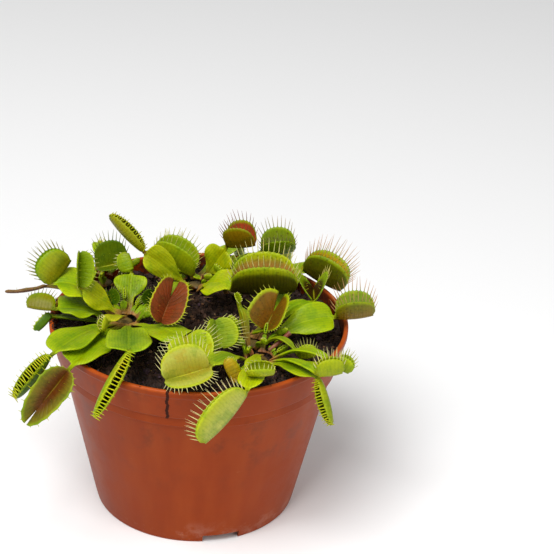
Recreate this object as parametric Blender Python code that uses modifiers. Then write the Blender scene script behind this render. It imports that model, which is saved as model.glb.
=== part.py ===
"""A Venus flytrap in its nursery pot: thin-walled pot, peat, six crowns and their leaves.

Each leaf is one grown piece: a petiole that widens into a flat green blade, a narrow neck,
and a hinged trap of two lobes. It is modelled as one open sheet, lofted along the midrib and
given its thickness by Solidify. Origin: centre of the pot's foot on the ground, +Z up, front -Y.
"""
import math

import bmesh
import bpy
import numpy as np

# ------------------------------------------------------------------ driving dimensions, in mm
POT_HEIGHT = 80.0
RIM_RADIUS = 60.0
COLLAR_RADIUS = 57.2        # foot of the collar, above its double step
COLLAR_LOW = 67.0           # height of the collar's first step
STEP_RADIUS = 56.0
STEP_LOW = 62.6             # height of the second step
BODY_TOP_RADIUS = 54.6
FOOT_RADIUS = 41.0
WALL = 1.5
LIP = 1.9                   # thickness of the rim's lip
FLOOR_UNDER = 3.3           # the floor stands this high inside the foot ring
FLOOR_TOP = 5.0
PAD_RADIUS = 6.0            # a pad under the middle of the floor stands level with the foot

NOTCH_WIDTH = 15.0          # three drainage notches in the foot ring
NOTCH_HEIGHT = 3.3
NOTCH_HEADING = -74.5       # degrees; the front notch, a little right of the middle
DRAIN_RADIUS = 3.0
DRAIN_RING = 25.0

PEAT_EDGE = 75.4            # peat height at the wall
PEAT_MIDDLE = 76.2
GAP = 0.3                   # clearance between touching pieces

CROWN_RADIUS = 3.4
CROWN_HEIGHT = 3.0
LEAF_THICKNESS = 0.6
NECK_LENGTH = 1.4           # the petiole's last row stands this far before the hinge
BLADE_WIDEST = 0.66         # share of the petiole's length where the blade is widest
BLADE_END = 0.9             # and where it has narrowed to the neck
NARROWEST_LOBE = 1.8        # a lobe is at least this wide at its two ends
RING_RADIUS = (5.4, 2.6)    # where leaf bases stand round a crown: outer ring, inner ring
RING_HEIGHT = (78.0, 80.6)
STALK_CENTRE = (32.5, -22.0, 83.0)
STALK_TILT = (0.0, 52.0, 20.0)

# Crown centres on the peat (x, y).
CROWNS = {
    "west": (-30, 1),
    "north": (-2, 35),
    "middle": (21, -15),
    "south": (24, -28),
    "back_left": (-40, 35),
    "back": (15, 30),
}

# One entry per leaf, in mm and degrees:
#   crown, ring: where the base stands (heading round the crown, 0 outer ring or 1 inner ring)
#   neck: where petiole and trap meet; arch: how far the petiole bows up half-way
#   reach: from the neck to the trap's tip, along the hinge; mouth: the way the trap opens
#   blade: half-width of the petiole's blade; lobe: width of one trap lobe
#   fold: how steeply a lobe leaves the hinge, and how steeply it ends (90 is upright)
#   taper: 0.6 for a rounded lobe, 1 for one that narrows to both ends
#   sweep: how far the lobe's margin reaches back past the hinge's start and on past its tip
#   face: the way the blade looks; shoulder: how far its corners lead; keel, flat: its V
#   stalk, stem: half-width of the bare stalk, and the share of the length where it widens
LEAVES = {
    "west_high": dict(crown="west", ring=(165, 0), neck=(-60, 0, 93), arch=6, reach=(8, 5, 9),
                      mouth=(-0.8, 0, 0.6), blade=8, lobe=11, fold=(50, 108),
                      face=(0.1, -0.3, 0.95), shoulder=0.1),
    "west_tongue": dict(crown="west", ring=(140, 0), neck=(-63, 15, 85), arch=3, reach=(-15, -2, -2),
                        mouth=(0, 0.3, 1), blade=2, lobe=1.8, fold=(5, 50), stem=0.3),
    "west_low": dict(crown="west", ring=(190, 0), neck=(-58, -7, 86), arch=2, reach=(-10, 2, 0),
                     mouth=(0, 1, 0.3), blade=9, lobe=7, fold=(40, 100), face=(0.0, -0.05, 1), shoulder=0.2),
    "west_spur": dict(crown="west", ring=(217, 0), neck=(-59, -5, 82), arch=0, reach=(-5, -3, -5),
                      mouth=(-0.7, 0.3, 0.6), blade=2, lobe=3, fold=(40, 115)),
    "west_back": dict(crown="west", ring=(180, 1), neck=(-48, -4, 95), arch=0, reach=(0, 5, 12),
                      mouth=(0.6, -0.8, 0.3), blade=6, lobe=7, fold=(60, 50),
                      face=(0, -0.5, 0.8), shoulder=0.2),
    "back_left": dict(crown="back_left", ring=(200, 0), neck=(-43, 34, 84), arch=1, reach=(12, 3, 2),
                      mouth=(0, -0.5, 0.8), blade=2, lobe=11, fold=(45, 55), shoulder=0.2),
    "centre_fork": dict(crown="west", ring=(80, 0), neck=(-28, 21, 90), arch=0, reach=(-2, 3, 6),
                        mouth=(-0.9, 0.5, 0.1), blade=7, lobe=6, fold=(40, 110),
                        shoulder=0.25, stem=0.35, stalk=2),
    "west_cross": dict(crown="west", ring=(314, 0), neck=(-5, -30, 87), arch=1, reach=(5, -10, -6),
                       mouth=(-0.1, -0.6, 0.8), blade=8, lobe=10, fold=(35, 25), keel=12),
    "rim_upper": dict(crown="west", ring=(237, 0), neck=(-56, -43, 85), arch=2.5, reach=(-12, -3, -16),
                      mouth=(-0.2, -0.7, 0.7), blade=8, lobe=8, fold=(20, 130), taper=0.9),
    "rim_lower": dict(crown="west", ring=(262, 0), neck=(-49, -49, 82), arch=2, reach=(-9, -7, -10),
                      mouth=(0.1, -0.7, 0.7), blade=9, lobe=8, fold=(45, 30), sweep=(0.5, 10), taper=0.9,
                      shoulder=0.1),
    "front_left": dict(crown="west", ring=(288, 0), neck=(-26, -49, 91), arch=1.5, reach=(-12, -11, -21),
                       mouth=(0.2, -0.9, 0.4), blade=9, lobe=7, fold=(20, 130), shoulder=1.2, taper=1.0),
    "inner_yellow": dict(crown="west", ring=(255, 1), neck=(-36, -19, 87), arch=1, reach=(-1, -5, -1),
                         mouth=(-0.5, -0.2, 0.8), blade=3.5, lobe=4, fold=(30, 110)),
    "inner_back": dict(crown="west", ring=(115, 0), neck=(-35, 9, 80), arch=1, reach=(-2, 3, 4),
                       mouth=(0.1, -0.4, 0.9), blade=1.2, lobe=5, fold=(40, 75), shoulder=0),
    "inner_right": dict(crown="west", ring=(40, 0), neck=(-21, 9, 81), arch=1, reach=(2, 2, 4),
                        mouth=(0.1, -0.4, 0.9), blade=1.2, lobe=5, fold=(40, 75), shoulder=0),
    "north_pod": dict(crown="north", ring=(230, 0), neck=(-24, 19, 100), arch=1, reach=(-13, 5, 12),
                      mouth=(0.6, -0.3, 0.7), blade=6, lobe=6, fold=(20, 130), face=(0.2, -0.9, 0.5),
                      taper=1.0),
    "north_dome": dict(crown="north", ring=(330, 1), neck=(-4, 34, 82), arch=0, reach=(-16, 5, 7),
                       mouth=(-0.1, 0.1, 1), blade=2, lobe=13, fold=(50, 85)),
    "red_heart": dict(crown="north", ring=(250, 0), neck=(-12, -8, 92), arch=4, reach=(-3, -8, -6),
                      mouth=(0.1, -0.8, 0.6), blade=4, lobe=9, fold=(45, 35), sweep=(9, 1)),
    "north_upright": dict(crown="north", ring=(45, 0), neck=(11, 36, 95), arch=0, reach=(11, -4, 3),
                          mouth=(-0.6, 0.2, 0.8), blade=7, lobe=11, fold=(50, 85),
                          face=(0, -0.7, 0.7), shoulder=0.2),
    "north_east": dict(crown="north", ring=(10, 0), neck=(26, 44, 88), arch=2, reach=(13, 0, 2),
                       mouth=(0, -0.1, 1), blade=3, lobe=11, fold=(45, 70)),
    "dome": dict(crown="north", ring=(290, 0), neck=(13, 5, 90), arch=3, reach=(25, 0, 1),
                 mouth=(0, 0, 1), blade=9, lobe=17, fold=(45, 85), face=(0, -0.6, 0.8), shoulder=0.2),
    "east_dome": dict(crown="middle", ring=(75, 0), neck=(42, 27, 90), arch=0, reach=(16, -5, -7),
                      mouth=(0.4, 0.1, 0.9), blade=3, lobe=13, fold=(45, 85)),
    "charred": dict(crown="middle", ring=(40, 0), neck=(46, 3, 87), arch=4, reach=(0, 9, 1),
                    mouth=(-0.1, -0.2, 1), blade=4, lobe=12, fold=(50, 70), shoulder=0.2),
    "far_east": dict(crown="middle", ring=(5, 0), neck=(55, -6, 85), arch=3, reach=(14, 0, 2),
                     mouth=(0.1, 0.1, 1), blade=7, lobe=11, fold=(40, 70), face=(0, -0.6, 0.8)),
    "bronze_heart": dict(crown="middle", ring=(90, 1), neck=(26, -14, 83), arch=0, reach=(3, 4, 5),
                         mouth=(-0.3, -0.7, 0.6), blade=1.2, lobe=11, fold=(45, 50),
                         sweep=(0.5, 9), shoulder=0),
    "middle_green": dict(crown="middle", ring=(225, 0), neck=(8, -28, 82), arch=2, reach=(-2, 5, 9),
                         mouth=(0.4, -0.8, 0.5), blade=1.8, lobe=9, fold=(50, 38), shoulder=0),
    "right_curl": dict(crown="middle", ring=(315, 0), neck=(39, -32, 81), arch=6, reach=(6, 0, 1),
                       mouth=(0, 0.3, 1), blade=1.5, lobe=5, fold=(40, 90), shoulder=0.2),
    "narrow_upright": dict(crown="south", ring=(140, 0), neck=(15, -21, 99), arch=0, reach=(-1, 1, 2),
                           mouth=(0, -0.7, 0.7), blade=2.5, lobe=3, fold=(60, 80), keel=50, flat=0),
    "front_big": dict(crown="south", ring=(205, 0), neck=(4, -49, 85), arch=3, reach=(-16, -5, -3),
                      mouth=(-0.1, -0.6, 0.8), blade=5, lobe=12, fold=(50, 38)),
    "yellow_closed": dict(crown="south", ring=(235, 0), neck=(14, -51, 80), arch=1, reach=(-4, 1, 8),
                          mouth=(0.6, 0.5, 0.4), blade=2, lobe=5, fold=(30, 110), shoulder=0.1),
    "front_hanging": dict(crown="south", ring=(275, 0), neck=(18, -64, 83), arch=3, reach=(-15, -9, -16),
                          mouth=(-0.8, 0.1, 0.6), blade=5, lobe=9, fold=(60, 100), taper=0.8),
    "front_small": dict(crown="south", ring=(262, 1), neck=(19, -55, 86), arch=2, reach=(9, -2, 2),
                        mouth=(0.2, -0.3, 0.9), blade=3, lobe=6, fold=(20, 110)),
    "front_right": dict(crown="south", ring=(300, 0), neck=(46, -50, 82), arch=2, reach=(5, -8, -14),
                        mouth=(-0.6, -0.8, 0.3), blade=6, lobe=6, fold=(20, 130), taper=1.0),
    "right_globe": dict(crown="south", ring=(330, 0), neck=(45, -54, 86), arch=3, reach=(9, 1, 1),
                        mouth=(0, 0.2, 1), blade=2, lobe=7, fold=(40, 110)),
    "right_small": dict(crown="south", ring=(357, 0), neck=(52, -46, 86), arch=5, reach=(5, -2, -2),
                        mouth=(0.8, -0.2, 0.5), blade=2, lobe=6, fold=(40, 110)),
    "back_rim_a": dict(crown="north", ring=(100, 0), neck=(-12, 63, 83), arch=3, reach=(-1, 4, -10),
                       mouth=(0, 1, 0.2), blade=5, lobe=7, fold=(40, 80)),
    "back_rim_b": dict(crown="back", ring=(50, 0), neck=(33, 55, 84), arch=3, reach=(2, 4, -10),
                       mouth=(0.3, 1, 0.2), blade=5, lobe=7, fold=(40, 80)),
    "back_rim_c": dict(crown="north", ring=(75, 0), neck=(16, 62, 83), arch=2, reach=(1, 4, -11),
                       mouth=(0, 1, 0.2), blade=4, lobe=6, fold=(20, 130)),
    "back_rim_d": dict(crown="back", ring=(5, 0), neck=(52, 39, 84), arch=3, reach=(2, 5, -9),
                       mouth=(0.5, 0.8, 0.3), blade=5, lobe=6, fold=(40, 80)),
    "back_rim_e": dict(crown="back_left", ring=(130, 1), neck=(-41, 53, 85), arch=4, reach=(-2, 4, -10),
                       mouth=(-0.3, 1, 0.2), blade=5, lobe=6, fold=(30, 110)),
}

# Stations of the coarse sheet: along the petiole, along the trap, and across from edge to edge.
ALONG_PETIOLE = np.array([0.0, 0.2, 0.42, 0.62, 0.8, 0.92, 1.0])
ALONG_TRAP = np.linspace(0.0, 1.0, 6)
ACROSS = np.array([-1.0, -0.5, 0.0, 0.5, 1.0])


# ------------------------------------------------------------------ helpers
def mm(*values):
    """Millimetres to metres."""
    return tuple(value * 0.001 for value in values)


def collection(name, visible=True):
    group = bpy.data.collections.new(name)
    group.hide_render = not visible
    bpy.context.scene.collection.children.link(group)
    return group


def material(name, colour, roughness):
    """A plain Principled material, non-metal."""
    mat = bpy.data.materials.new(name)
    mat.use_nodes = True
    shader = mat.node_tree.nodes["Principled BSDF"]
    shader.inputs["Base Color"].default_value = (*colour, 1.0)
    shader.inputs["Roughness"].default_value = roughness
    shader.inputs["Metallic"].default_value = 0.0
    return mat


def add_object(name, mesh, mat, group):
    obj = bpy.data.objects.new(name, mesh)
    mesh.materials.append(mat)
    group.objects.link(obj)
    return obj


def turned(name, profile, segments, mat, group):
    """A turned solid: the profile (radius, height) in mm, outer side top to bottom, round Z."""
    mesh = bpy.data.meshes.new(name)
    points = [mm(radius, 0.0, height) for radius, height in profile]
    mesh.from_pydata(points, [(i, i + 1) for i in range(len(points) - 1)], [])
    obj = add_object(name, mesh, mat, group)
    screw = obj.modifiers.new("Turn", "SCREW")
    screw.steps = screw.render_steps = segments
    screw.use_merge_vertices = True
    screw.merge_threshold = 0.00002
    screw.use_smooth_shade = True
    return obj


def box_cutter(name, size, centre, heading, group):
    bm = bmesh.new()
    bmesh.ops.create_cube(bm, size=1.0)
    bmesh.ops.scale(bm, vec=mm(*size), verts=bm.verts)
    return cutter(name, bm, centre, heading, group)


def drill_cutter(name, radius, depth, centre, group):
    bm = bmesh.new()
    bmesh.ops.create_cone(bm, cap_ends=True, segments=16, radius1=radius * 0.001,
                          radius2=radius * 0.001, depth=depth * 0.001)
    return cutter(name, bm, centre, 0.0, group)


def cutter(name, bm, centre, heading, group):
    mesh = bpy.data.meshes.new(name)
    bm.to_mesh(mesh)
    bm.free()
    obj = bpy.data.objects.new(name, mesh)
    obj.location = mm(*centre)
    obj.rotation_euler = (0.0, 0.0, math.radians(heading))
    obj.hide_render = True
    obj.display_type = "WIRE"
    group.objects.link(obj)
    return obj


def cut(obj, tool):
    boolean = obj.modifiers.new(tool.name, "BOOLEAN")
    boolean.operation = "DIFFERENCE"
    boolean.solver = "EXACT"
    boolean.object = tool


# ------------------------------------------------------------------ the pot
def make_pot(mat, group, cutters):
    """Thin-walled pot: rolled collar with a double step, foot ring, raised floor on a middle
    pad, notches and drains."""
    inner_foot = FOOT_RADIUS - WALL
    profile = [
        (0.0, FLOOR_TOP),
        (inner_foot - 0.6, FLOOR_TOP),
        (inner_foot + 0.6, FLOOR_TOP + 1.6),
        (BODY_TOP_RADIUS - WALL, STEP_LOW),
        (RIM_RADIUS - LIP - 0.5, COLLAR_LOW + 2.0),
        (RIM_RADIUS - LIP, POT_HEIGHT - 0.5),
        (RIM_RADIUS - LIP + 0.5, POT_HEIGHT),
        (RIM_RADIUS - 0.5, POT_HEIGHT),
        (RIM_RADIUS, POT_HEIGHT - 0.5),
        (RIM_RADIUS - 0.2, POT_HEIGHT - 3.5),
        (COLLAR_RADIUS, COLLAR_LOW),
        (STEP_RADIUS + 0.2, COLLAR_LOW - 0.5),
        (STEP_RADIUS, STEP_LOW),
        (BODY_TOP_RADIUS, STEP_LOW - 0.5),
        (FOOT_RADIUS, 0.4),
        (FOOT_RADIUS - 0.3, 0.0),
        (inner_foot, 0.0),
        (inner_foot - 0.4, FLOOR_UNDER),
        (PAD_RADIUS + 0.4, FLOOR_UNDER),
        (PAD_RADIUS, 0.0),
        (0.0, 0.0),
    ]
    pot = turned("pot", profile, 60, mat, group)
    for i in range(3):
        heading = NOTCH_HEADING + 120.0 * i
        turn = math.radians(heading)
        ring = FOOT_RADIUS - WALL / 2.0
        centre = (ring * math.cos(turn), ring * math.sin(turn), 0.0)
        size = (8.0, NOTCH_WIDTH, 2.0 * NOTCH_HEIGHT)
        cut(pot, box_cutter(f"notch_{i + 1}", size, centre, heading, cutters))
    for i in range(6):
        turn = math.radians(NOTCH_HEADING + 60.0 * i)
        centre = (DRAIN_RING * math.cos(turn), DRAIN_RING * math.sin(turn), FLOOR_TOP)
        cut(pot, drill_cutter(f"drain_{i + 1}", DRAIN_RADIUS, 12.0, centre, cutters))
    return pot


# ------------------------------------------------------------------ the peat and the crowns
def make_peat(mat, group):
    """The peat plug: it follows the pot's inner wall and is slightly mounded."""
    inner_foot = FOOT_RADIUS - WALL
    profile = [
        (0.0, PEAT_MIDDLE),
        (30.0, PEAT_MIDDLE - 0.1),
        (50.0, PEAT_EDGE + 0.2),
        (RIM_RADIUS - LIP - 0.5 - GAP, PEAT_EDGE),
        (RIM_RADIUS - LIP - 0.9 - GAP, COLLAR_LOW + 2.0),
        (BODY_TOP_RADIUS - WALL - GAP, STEP_LOW),
        (inner_foot + 0.6 - GAP, FLOOR_TOP + 1.9),
        (inner_foot - 1.2, FLOOR_TOP + GAP),
        (0.0, FLOOR_TOP + GAP),
    ]
    return turned("peat", profile, 48, mat, group)


def make_crown(name, centre, mat, group):
    """A crown: the low dome of the rhizome that the leaves grow from."""
    profile = [(0.0, CROWN_HEIGHT), (CROWN_RADIUS * 0.5, CROWN_HEIGHT * 0.88),
               (CROWN_RADIUS * 0.87, CROWN_HEIGHT * 0.5), (CROWN_RADIUS, 0.0), (0.0, 0.0)]
    crown = turned(name, profile, 12, mat, group)
    crown.location = mm(centre[0], centre[1], PEAT_MIDDLE + GAP)
    return crown


# ------------------------------------------------------------------ the leaves
def smooth(x):
    x = np.clip(x, 0.0, 1.0)
    return x * x * (3.0 - 2.0 * x)


def unit(vectors):
    return vectors / np.linalg.norm(vectors, axis=-1, keepdims=True)


def half_section(t, width, first, last):
    """Half a folded cross-section: an arc of length width that leaves the midrib at the slope
    first and ends at the slope last (degrees). Returns the sideways and upward distances."""
    start = math.radians(first)
    turn = math.radians(last) - start
    slope = start + turn * t
    return (width * (np.sin(slope) - math.sin(start)) / turn,
            width * (math.cos(start) - np.cos(slope)) / turn)


def leaf_base(leaf):
    """Where the leaf leaves its crown."""
    heading, ring = leaf["ring"]
    centre = CROWNS[leaf["crown"]]
    turn = math.radians(heading)
    return np.array([centre[0] + RING_RADIUS[ring] * math.cos(turn),
                     centre[1] + RING_RADIUS[ring] * math.sin(turn), RING_HEIGHT[ring]])


def petiole_rows(leaf, along, across):
    """Petiole and blade: a parabola base-arch-neck carries a shallow V with rounded shoulders."""
    base = leaf_base(leaf)
    neck = np.array(leaf["neck"], float)
    middle = (base + neck) / 2.0 + np.array([0.0, 0.0, 2.0 * leaf["arch"]])
    u = along[:, None] * (1.0 - NECK_LENGTH / np.linalg.norm(neck - base))
    ribs = (1 - u) ** 2 * base + 2 * u * (1 - u) * middle + u * u * neck
    forward = unit(2 * (1 - u) * (middle - base) + 2 * u * (neck - middle))
    face = np.array(leaf.get("face", (0.0, 0.0, 1.0)))
    up = unit(face - forward * (forward @ face)[:, None])
    side = np.cross(forward, up)

    blade = leaf["blade"]
    stalk = leaf.get("stalk", 1.0) / blade
    stem = leaf.get("stem", 0.12)
    widening = stalk + (1.0 - stalk) * smooth((along - stem) / (BLADE_WIDEST - stem))
    past = np.clip((along - BLADE_WIDEST) / (BLADE_END - BLADE_WIDEST), 0.0, 1.0)
    rounding = np.sqrt(1.0 - past ** 2.2)
    width = np.maximum(blade * widening * rounding, 0.8)
    ahead = leaf.get("shoulder", 0.5) * blade * np.sin(math.pi * np.clip(2 * along - 1, 0.0, 1.0))

    t = np.abs(across)[None, :]
    keel = leaf.get("keel", 25.0)
    out, rise = half_section(t, width[:, None], keel, keel - leaf.get("flat", 30.0) - 0.1)
    out = out * np.sign(across)
    lead = ahead[:, None] * t ** 1.5
    return (ribs[:, None] + side[:, None] * out[..., None] + up[:, None] * rise[..., None]
            + forward[:, None] * lead[..., None])


def trap_rows(leaf, along, across):
    """The trap: rows fan from the hinge to the rounded margin of each lobe."""
    neck = np.array(leaf["neck"], float)
    reach = np.array(leaf["reach"], float)
    length = np.linalg.norm(reach)
    hinge = reach / length
    mouth = np.array(leaf["mouth"], float)
    up = unit(mouth - hinge * (hinge @ mouth))
    side = np.cross(hinge, up)

    corner = 0.2
    turn = corner + (math.pi - 2 * corner) * along
    root = np.maximum(length * (1 - np.cos(turn) / math.cos(corner)) / 2.0, 0.5)
    near, far = leaf.get("sweep", (0.5, 1.0))
    overhang = np.where(turn < math.pi / 2, near, far)
    margin = length / 2.0 - (length / 2.0 + overhang) * np.cos(turn) / math.cos(corner)
    width = np.maximum(leaf["lobe"] * np.sin(turn) ** leaf.get("taper", 0.6), NARROWEST_LOBE)

    t = np.abs(across)[None, :]
    out, rise = half_section(t, width[:, None], *leaf["fold"])
    out = out * np.sign(across)
    ahead = root[:, None] + (margin - root)[:, None] * t ** 1.2
    bow = 0.2 * length * (root / length) * (1 - root / length)
    return (neck + hinge * ahead[..., None] + side * out[..., None]
            + up * (rise - bow[:, None])[..., None])


def make_leaf(name, leaf, mat, group):
    """One leaf with its trap: the lofted sheet, thickened evenly to both sides."""
    sheet = np.concatenate([petiole_rows(leaf, ALONG_PETIOLE, ACROSS),
                            trap_rows(leaf, ALONG_TRAP, ACROSS)])
    rows, columns = sheet.shape[:2]
    corner = (np.arange(rows - 1)[:, None] * columns + np.arange(columns - 1)).ravel()
    faces = np.stack([corner, corner + columns, corner + columns + 1, corner + 1], axis=1)
    mesh = bpy.data.meshes.new(name)
    mesh.from_pydata((sheet.reshape(-1, 3) * 0.001).tolist(), [], faces.tolist())
    mesh.shade_smooth()
    obj = add_object(name, mesh, mat, group)
    solidify = obj.modifiers.new("Thickness", "SOLIDIFY")
    solidify.thickness = LEAF_THICKNESS * 0.001
    solidify.offset = 0.0
    obj.modifiers.new("Triangles", "TRIANGULATE")
    return obj


def make_stalk(mat, group):
    """A cut flower stalk standing between the leaves of the south crown."""
    bm = bmesh.new()
    bmesh.ops.create_cone(bm, cap_ends=True, segments=12, radius1=0.0010, radius2=0.0014,
                          depth=0.0135)
    mesh = bpy.data.meshes.new("cut_stalk")
    bm.to_mesh(mesh)
    bm.free()
    stalk = add_object("cut_stalk", mesh, mat, group)
    stalk.location = mm(*STALK_CENTRE)
    stalk.rotation_euler = [math.radians(angle) for angle in STALK_TILT]
    return stalk


def build():
    for obj in list(bpy.data.objects):
        bpy.data.objects.remove(obj, do_unlink=True)
    plant = collection("venus_flytrap")
    cutters = collection("cutters", visible=False)

    terracotta = material("pot_plastic", (0.36, 0.075, 0.027), 0.5)
    peat = material("peat", (0.012, 0.008, 0.006), 0.95)
    rhizome = material("crown", (0.32, 0.20, 0.13), 0.6)
    green = material("leaf", (0.22, 0.34, 0.03), 0.45)
    stalk = material("stalk", (0.28, 0.09, 0.05), 0.6)

    make_pot(terracotta, plant, cutters)
    make_peat(peat, plant)
    for name, centre in CROWNS.items():
        make_crown(f"crown_{name}", centre, rhizome, plant)
    for name, leaf in LEAVES.items():
        make_leaf(f"leaf_{name}", leaf, green, plant)
    make_stalk(stalk, plant)


build()
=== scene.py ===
"""A Venus flytrap in its nursery pot.

The sections follow the plant as it is potted: pot, peat, crumbs and fibres, crowns, the leaves
crown by crown, the young leaves, the cut flower stalk, and last the floor, the lights and the
camera.
Lengths in the tables are in millimetres, angles in degrees, and colours are sRGB codes.
"""
import math

import bpy
import numpy as np
from mathutils import Matrix


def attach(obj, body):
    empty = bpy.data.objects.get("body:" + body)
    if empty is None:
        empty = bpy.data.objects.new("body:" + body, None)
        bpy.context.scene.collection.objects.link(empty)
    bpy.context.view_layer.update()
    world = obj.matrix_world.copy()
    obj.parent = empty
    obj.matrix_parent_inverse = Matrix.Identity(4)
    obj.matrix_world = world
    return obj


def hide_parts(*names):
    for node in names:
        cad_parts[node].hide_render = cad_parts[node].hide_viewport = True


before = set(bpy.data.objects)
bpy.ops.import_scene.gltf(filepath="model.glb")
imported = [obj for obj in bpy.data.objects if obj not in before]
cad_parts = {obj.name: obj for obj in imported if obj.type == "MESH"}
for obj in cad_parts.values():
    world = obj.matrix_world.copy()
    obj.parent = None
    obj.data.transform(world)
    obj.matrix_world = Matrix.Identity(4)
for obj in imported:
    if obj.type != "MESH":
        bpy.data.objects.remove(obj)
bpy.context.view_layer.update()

# ------------------------------------------------------------------ the pot
# An injection-moulded polypropylene pot in terracotta colour: a tapered body, a double step,
# a flared collar with a rolled lip, a foot ring with three notches, and six drains in the floor.
# The level pad under the middle of the floor is invented, for the origin to rest on.
POT_HEIGHT = 80.0
RIM_RADIUS = 60.0
COLLAR_RADIUS = 57.2
COLLAR_LOW = 67.0
STEP_RADIUS = 56.0
STEP_LOW = 62.6
BODY_TOP_RADIUS = 54.6
FOOT_RADIUS = 41.0
WALL = 1.5
LIP = 1.9
FLOOR_UNDER = 3.3
FLOOR_TOP = 5.0
PAD_RADIUS = 6.0
INNER_FOOT = FOOT_RADIUS - WALL
NOTCH_HEADING = -74.5
POT_AROUND = 192


def rounded(profile, radius):
    """The profile with each corner c replaced by the curve (1-s)^2 a + 2 s (1-s) c + s^2 b,
    from a on the leg before to b on the leg after, both at most radius away from c."""
    points = np.array(profile, float)
    corner = points[1:-1]

    def on_leg(other):
        away = other - corner
        length = np.linalg.norm(away, axis=1, keepdims=True)
        return corner + away / length * np.minimum(radius, 0.4 * length)

    a, b, c = on_leg(points[:-2])[:, None], on_leg(points[2:])[:, None], corner[:, None]
    s = np.linspace(0.0, 1.0, 5)[None, :, None]
    curve = (1 - s) ** 2 * a + 2 * s * (1 - s) * c + s ** 2 * b
    return np.concatenate([points[:1], curve.reshape(-1, 2), points[-1:]])


def turned(profile, around):
    """A solid turned round Z: point (i, j) is (r_i cos a_j, r_i sin a_j, z_i), with a single
    point where the profile starts and ends on the axis. Returns points and face lists."""
    profile = np.array(profile, float)
    angle = np.linspace(0.0, 2 * math.pi, around, endpoint=False)
    rows = profile[1:-1]
    grid = np.stack([rows[:, :1] * np.cos(angle), rows[:, :1] * np.sin(angle),
                     np.repeat(rows[:, 1:], around, axis=1)], axis=-1)
    ends = np.array([[0.0, 0.0, profile[0, 1]], [0.0, 0.0, profile[-1, 1]]])
    points = np.concatenate([grid.reshape(-1, 3), ends])
    count = len(rows)
    i, j = np.meshgrid(np.arange(count - 1), np.arange(around), indexing="ij")
    k = (j + 1) % around
    quads = np.stack([i * around + j, (i + 1) * around + j, (i + 1) * around + k,
                      i * around + k], axis=-1).reshape(-1, 4)
    j = np.arange(around)
    k = (j + 1) % around
    first, last = count * around, count * around + 1
    top = np.stack([np.full(around, first), j, k], axis=1)
    low = (count - 1) * around
    bottom = np.stack([low + j, np.full(around, last), low + k], axis=1)
    return points, [quads, top, bottom]


def new_mesh(name, points, faces):
    """A mesh from points in millimetres and a list of arrays of faces."""
    mesh = bpy.data.meshes.new(name)
    corners = [face for group in faces for face in group.tolist()]
    mesh.from_pydata((points * 0.001).tolist(), [], corners)
    mesh.shade_smooth()
    return mesh


def new_piece(name, mesh, finish, nodes=()):
    """Puts a mesh into the scene as a piece of the plant that rides on the root body."""
    piece = bpy.data.objects.new(name, mesh)
    mesh.materials.clear()
    mesh.materials.append(finish)
    bpy.context.scene.collection.objects.link(piece)
    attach(piece, "root")
    if nodes:
        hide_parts(*nodes)
    return piece


def paint(code):
    """The linear colour of an sRGB code such as #A0522D."""
    part = np.array([int(code[i:i + 2], 16) / 255.0 for i in (1, 3, 5)])
    return np.where(part <= 0.04045, part / 12.92, ((part + 0.055) / 1.055) ** 2.4)


def node(tree, kind, inputs=None, **settings):
    """A new shader node with its settings, and its inputs given as values or linked sockets."""
    made = tree.nodes.new("ShaderNode" + kind)
    for name, value in settings.items():
        setattr(made, name, value)
    for key, value in (inputs or {}).items():
        if isinstance(value, bpy.types.NodeSocket):
            tree.links.new(value, made.inputs[key])
        else:
            made.inputs[key].default_value = value
    return made


def blended(tree, factor, one, other, mode="MIX"):
    """Mixes two colours; a colour is a socket or an array of three numbers."""
    def as_colour(value):
        return value if isinstance(value, bpy.types.NodeSocket) else (*value, 1.0)

    made = node(tree, "Mix", data_type="RGBA", blend_type=mode)
    for key, value in ((0, factor), (6, as_colour(one)), (7, as_colour(other))):
        if isinstance(value, bpy.types.NodeSocket):
            tree.links.new(value, made.inputs[key])
        else:
            made.inputs[key].default_value = value
    return made.outputs[2]


def ramped(tree, value, low, high, to_low=0.0, to_high=1.0):
    """The value moved smoothly from the range low-high to the range to_low-to_high."""
    return node(tree, "MapRange", {"Value": value, "From Min": low, "From Max": high,
                                   "To Min": to_low, "To Max": to_high},
                interpolation_type="SMOOTHSTEP").outputs[0]


def combined(tree, operation, one, other):
    """One sum, product or other operation on two values or sockets."""
    return node(tree, "Math", {0: one, 1: other}, operation=operation).outputs[0]


def new_material(name, roughness, subsurface=0.0, coat=0.0, specular=0.5):
    """A material and its shader; what is the same all over is set on the shader itself."""
    material = bpy.data.materials.new(name)
    material.use_nodes = True
    tree = material.node_tree
    shader = tree.nodes["Principled BSDF"]
    shader.inputs["Roughness"].default_value = roughness
    shader.inputs["Subsurface Weight"].default_value = subsurface
    shader.inputs["Coat Weight"].default_value = coat
    shader.inputs["Coat Roughness"].default_value = 0.25
    shader.inputs["Specular IOR Level"].default_value = specular
    return material, tree, shader


# Uneven tone, used by every material: two sizes of noise lighten and darken a colour.
mottle = bpy.data.node_groups.new("uneven_tone", "ShaderNodeTree")
mottle.interface.new_socket("Colour", in_out="INPUT", socket_type="NodeSocketColor")
mottle.interface.new_socket("Size", in_out="INPUT", socket_type="NodeSocketFloat")
mottle.interface.new_socket("Amount", in_out="INPUT", socket_type="NodeSocketFloat")
mottle.interface.new_socket("Colour", in_out="OUTPUT", socket_type="NodeSocketColor")
mottle.interface.new_socket("Height", in_out="OUTPUT", socket_type="NodeSocketFloat")
group_in = mottle.nodes.new("NodeGroupInput")
group_out = mottle.nodes.new("NodeGroupOutput")
place = node(mottle, "TexCoord").outputs["Object"]
broad = node(mottle, "TexNoise", {"Vector": place, "Scale": group_in.outputs["Size"],
                                  "Detail": 4.0, "Roughness": 0.6}).outputs[0]
fine_size = combined(mottle, "MULTIPLY", group_in.outputs["Size"], 7.0)
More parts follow.
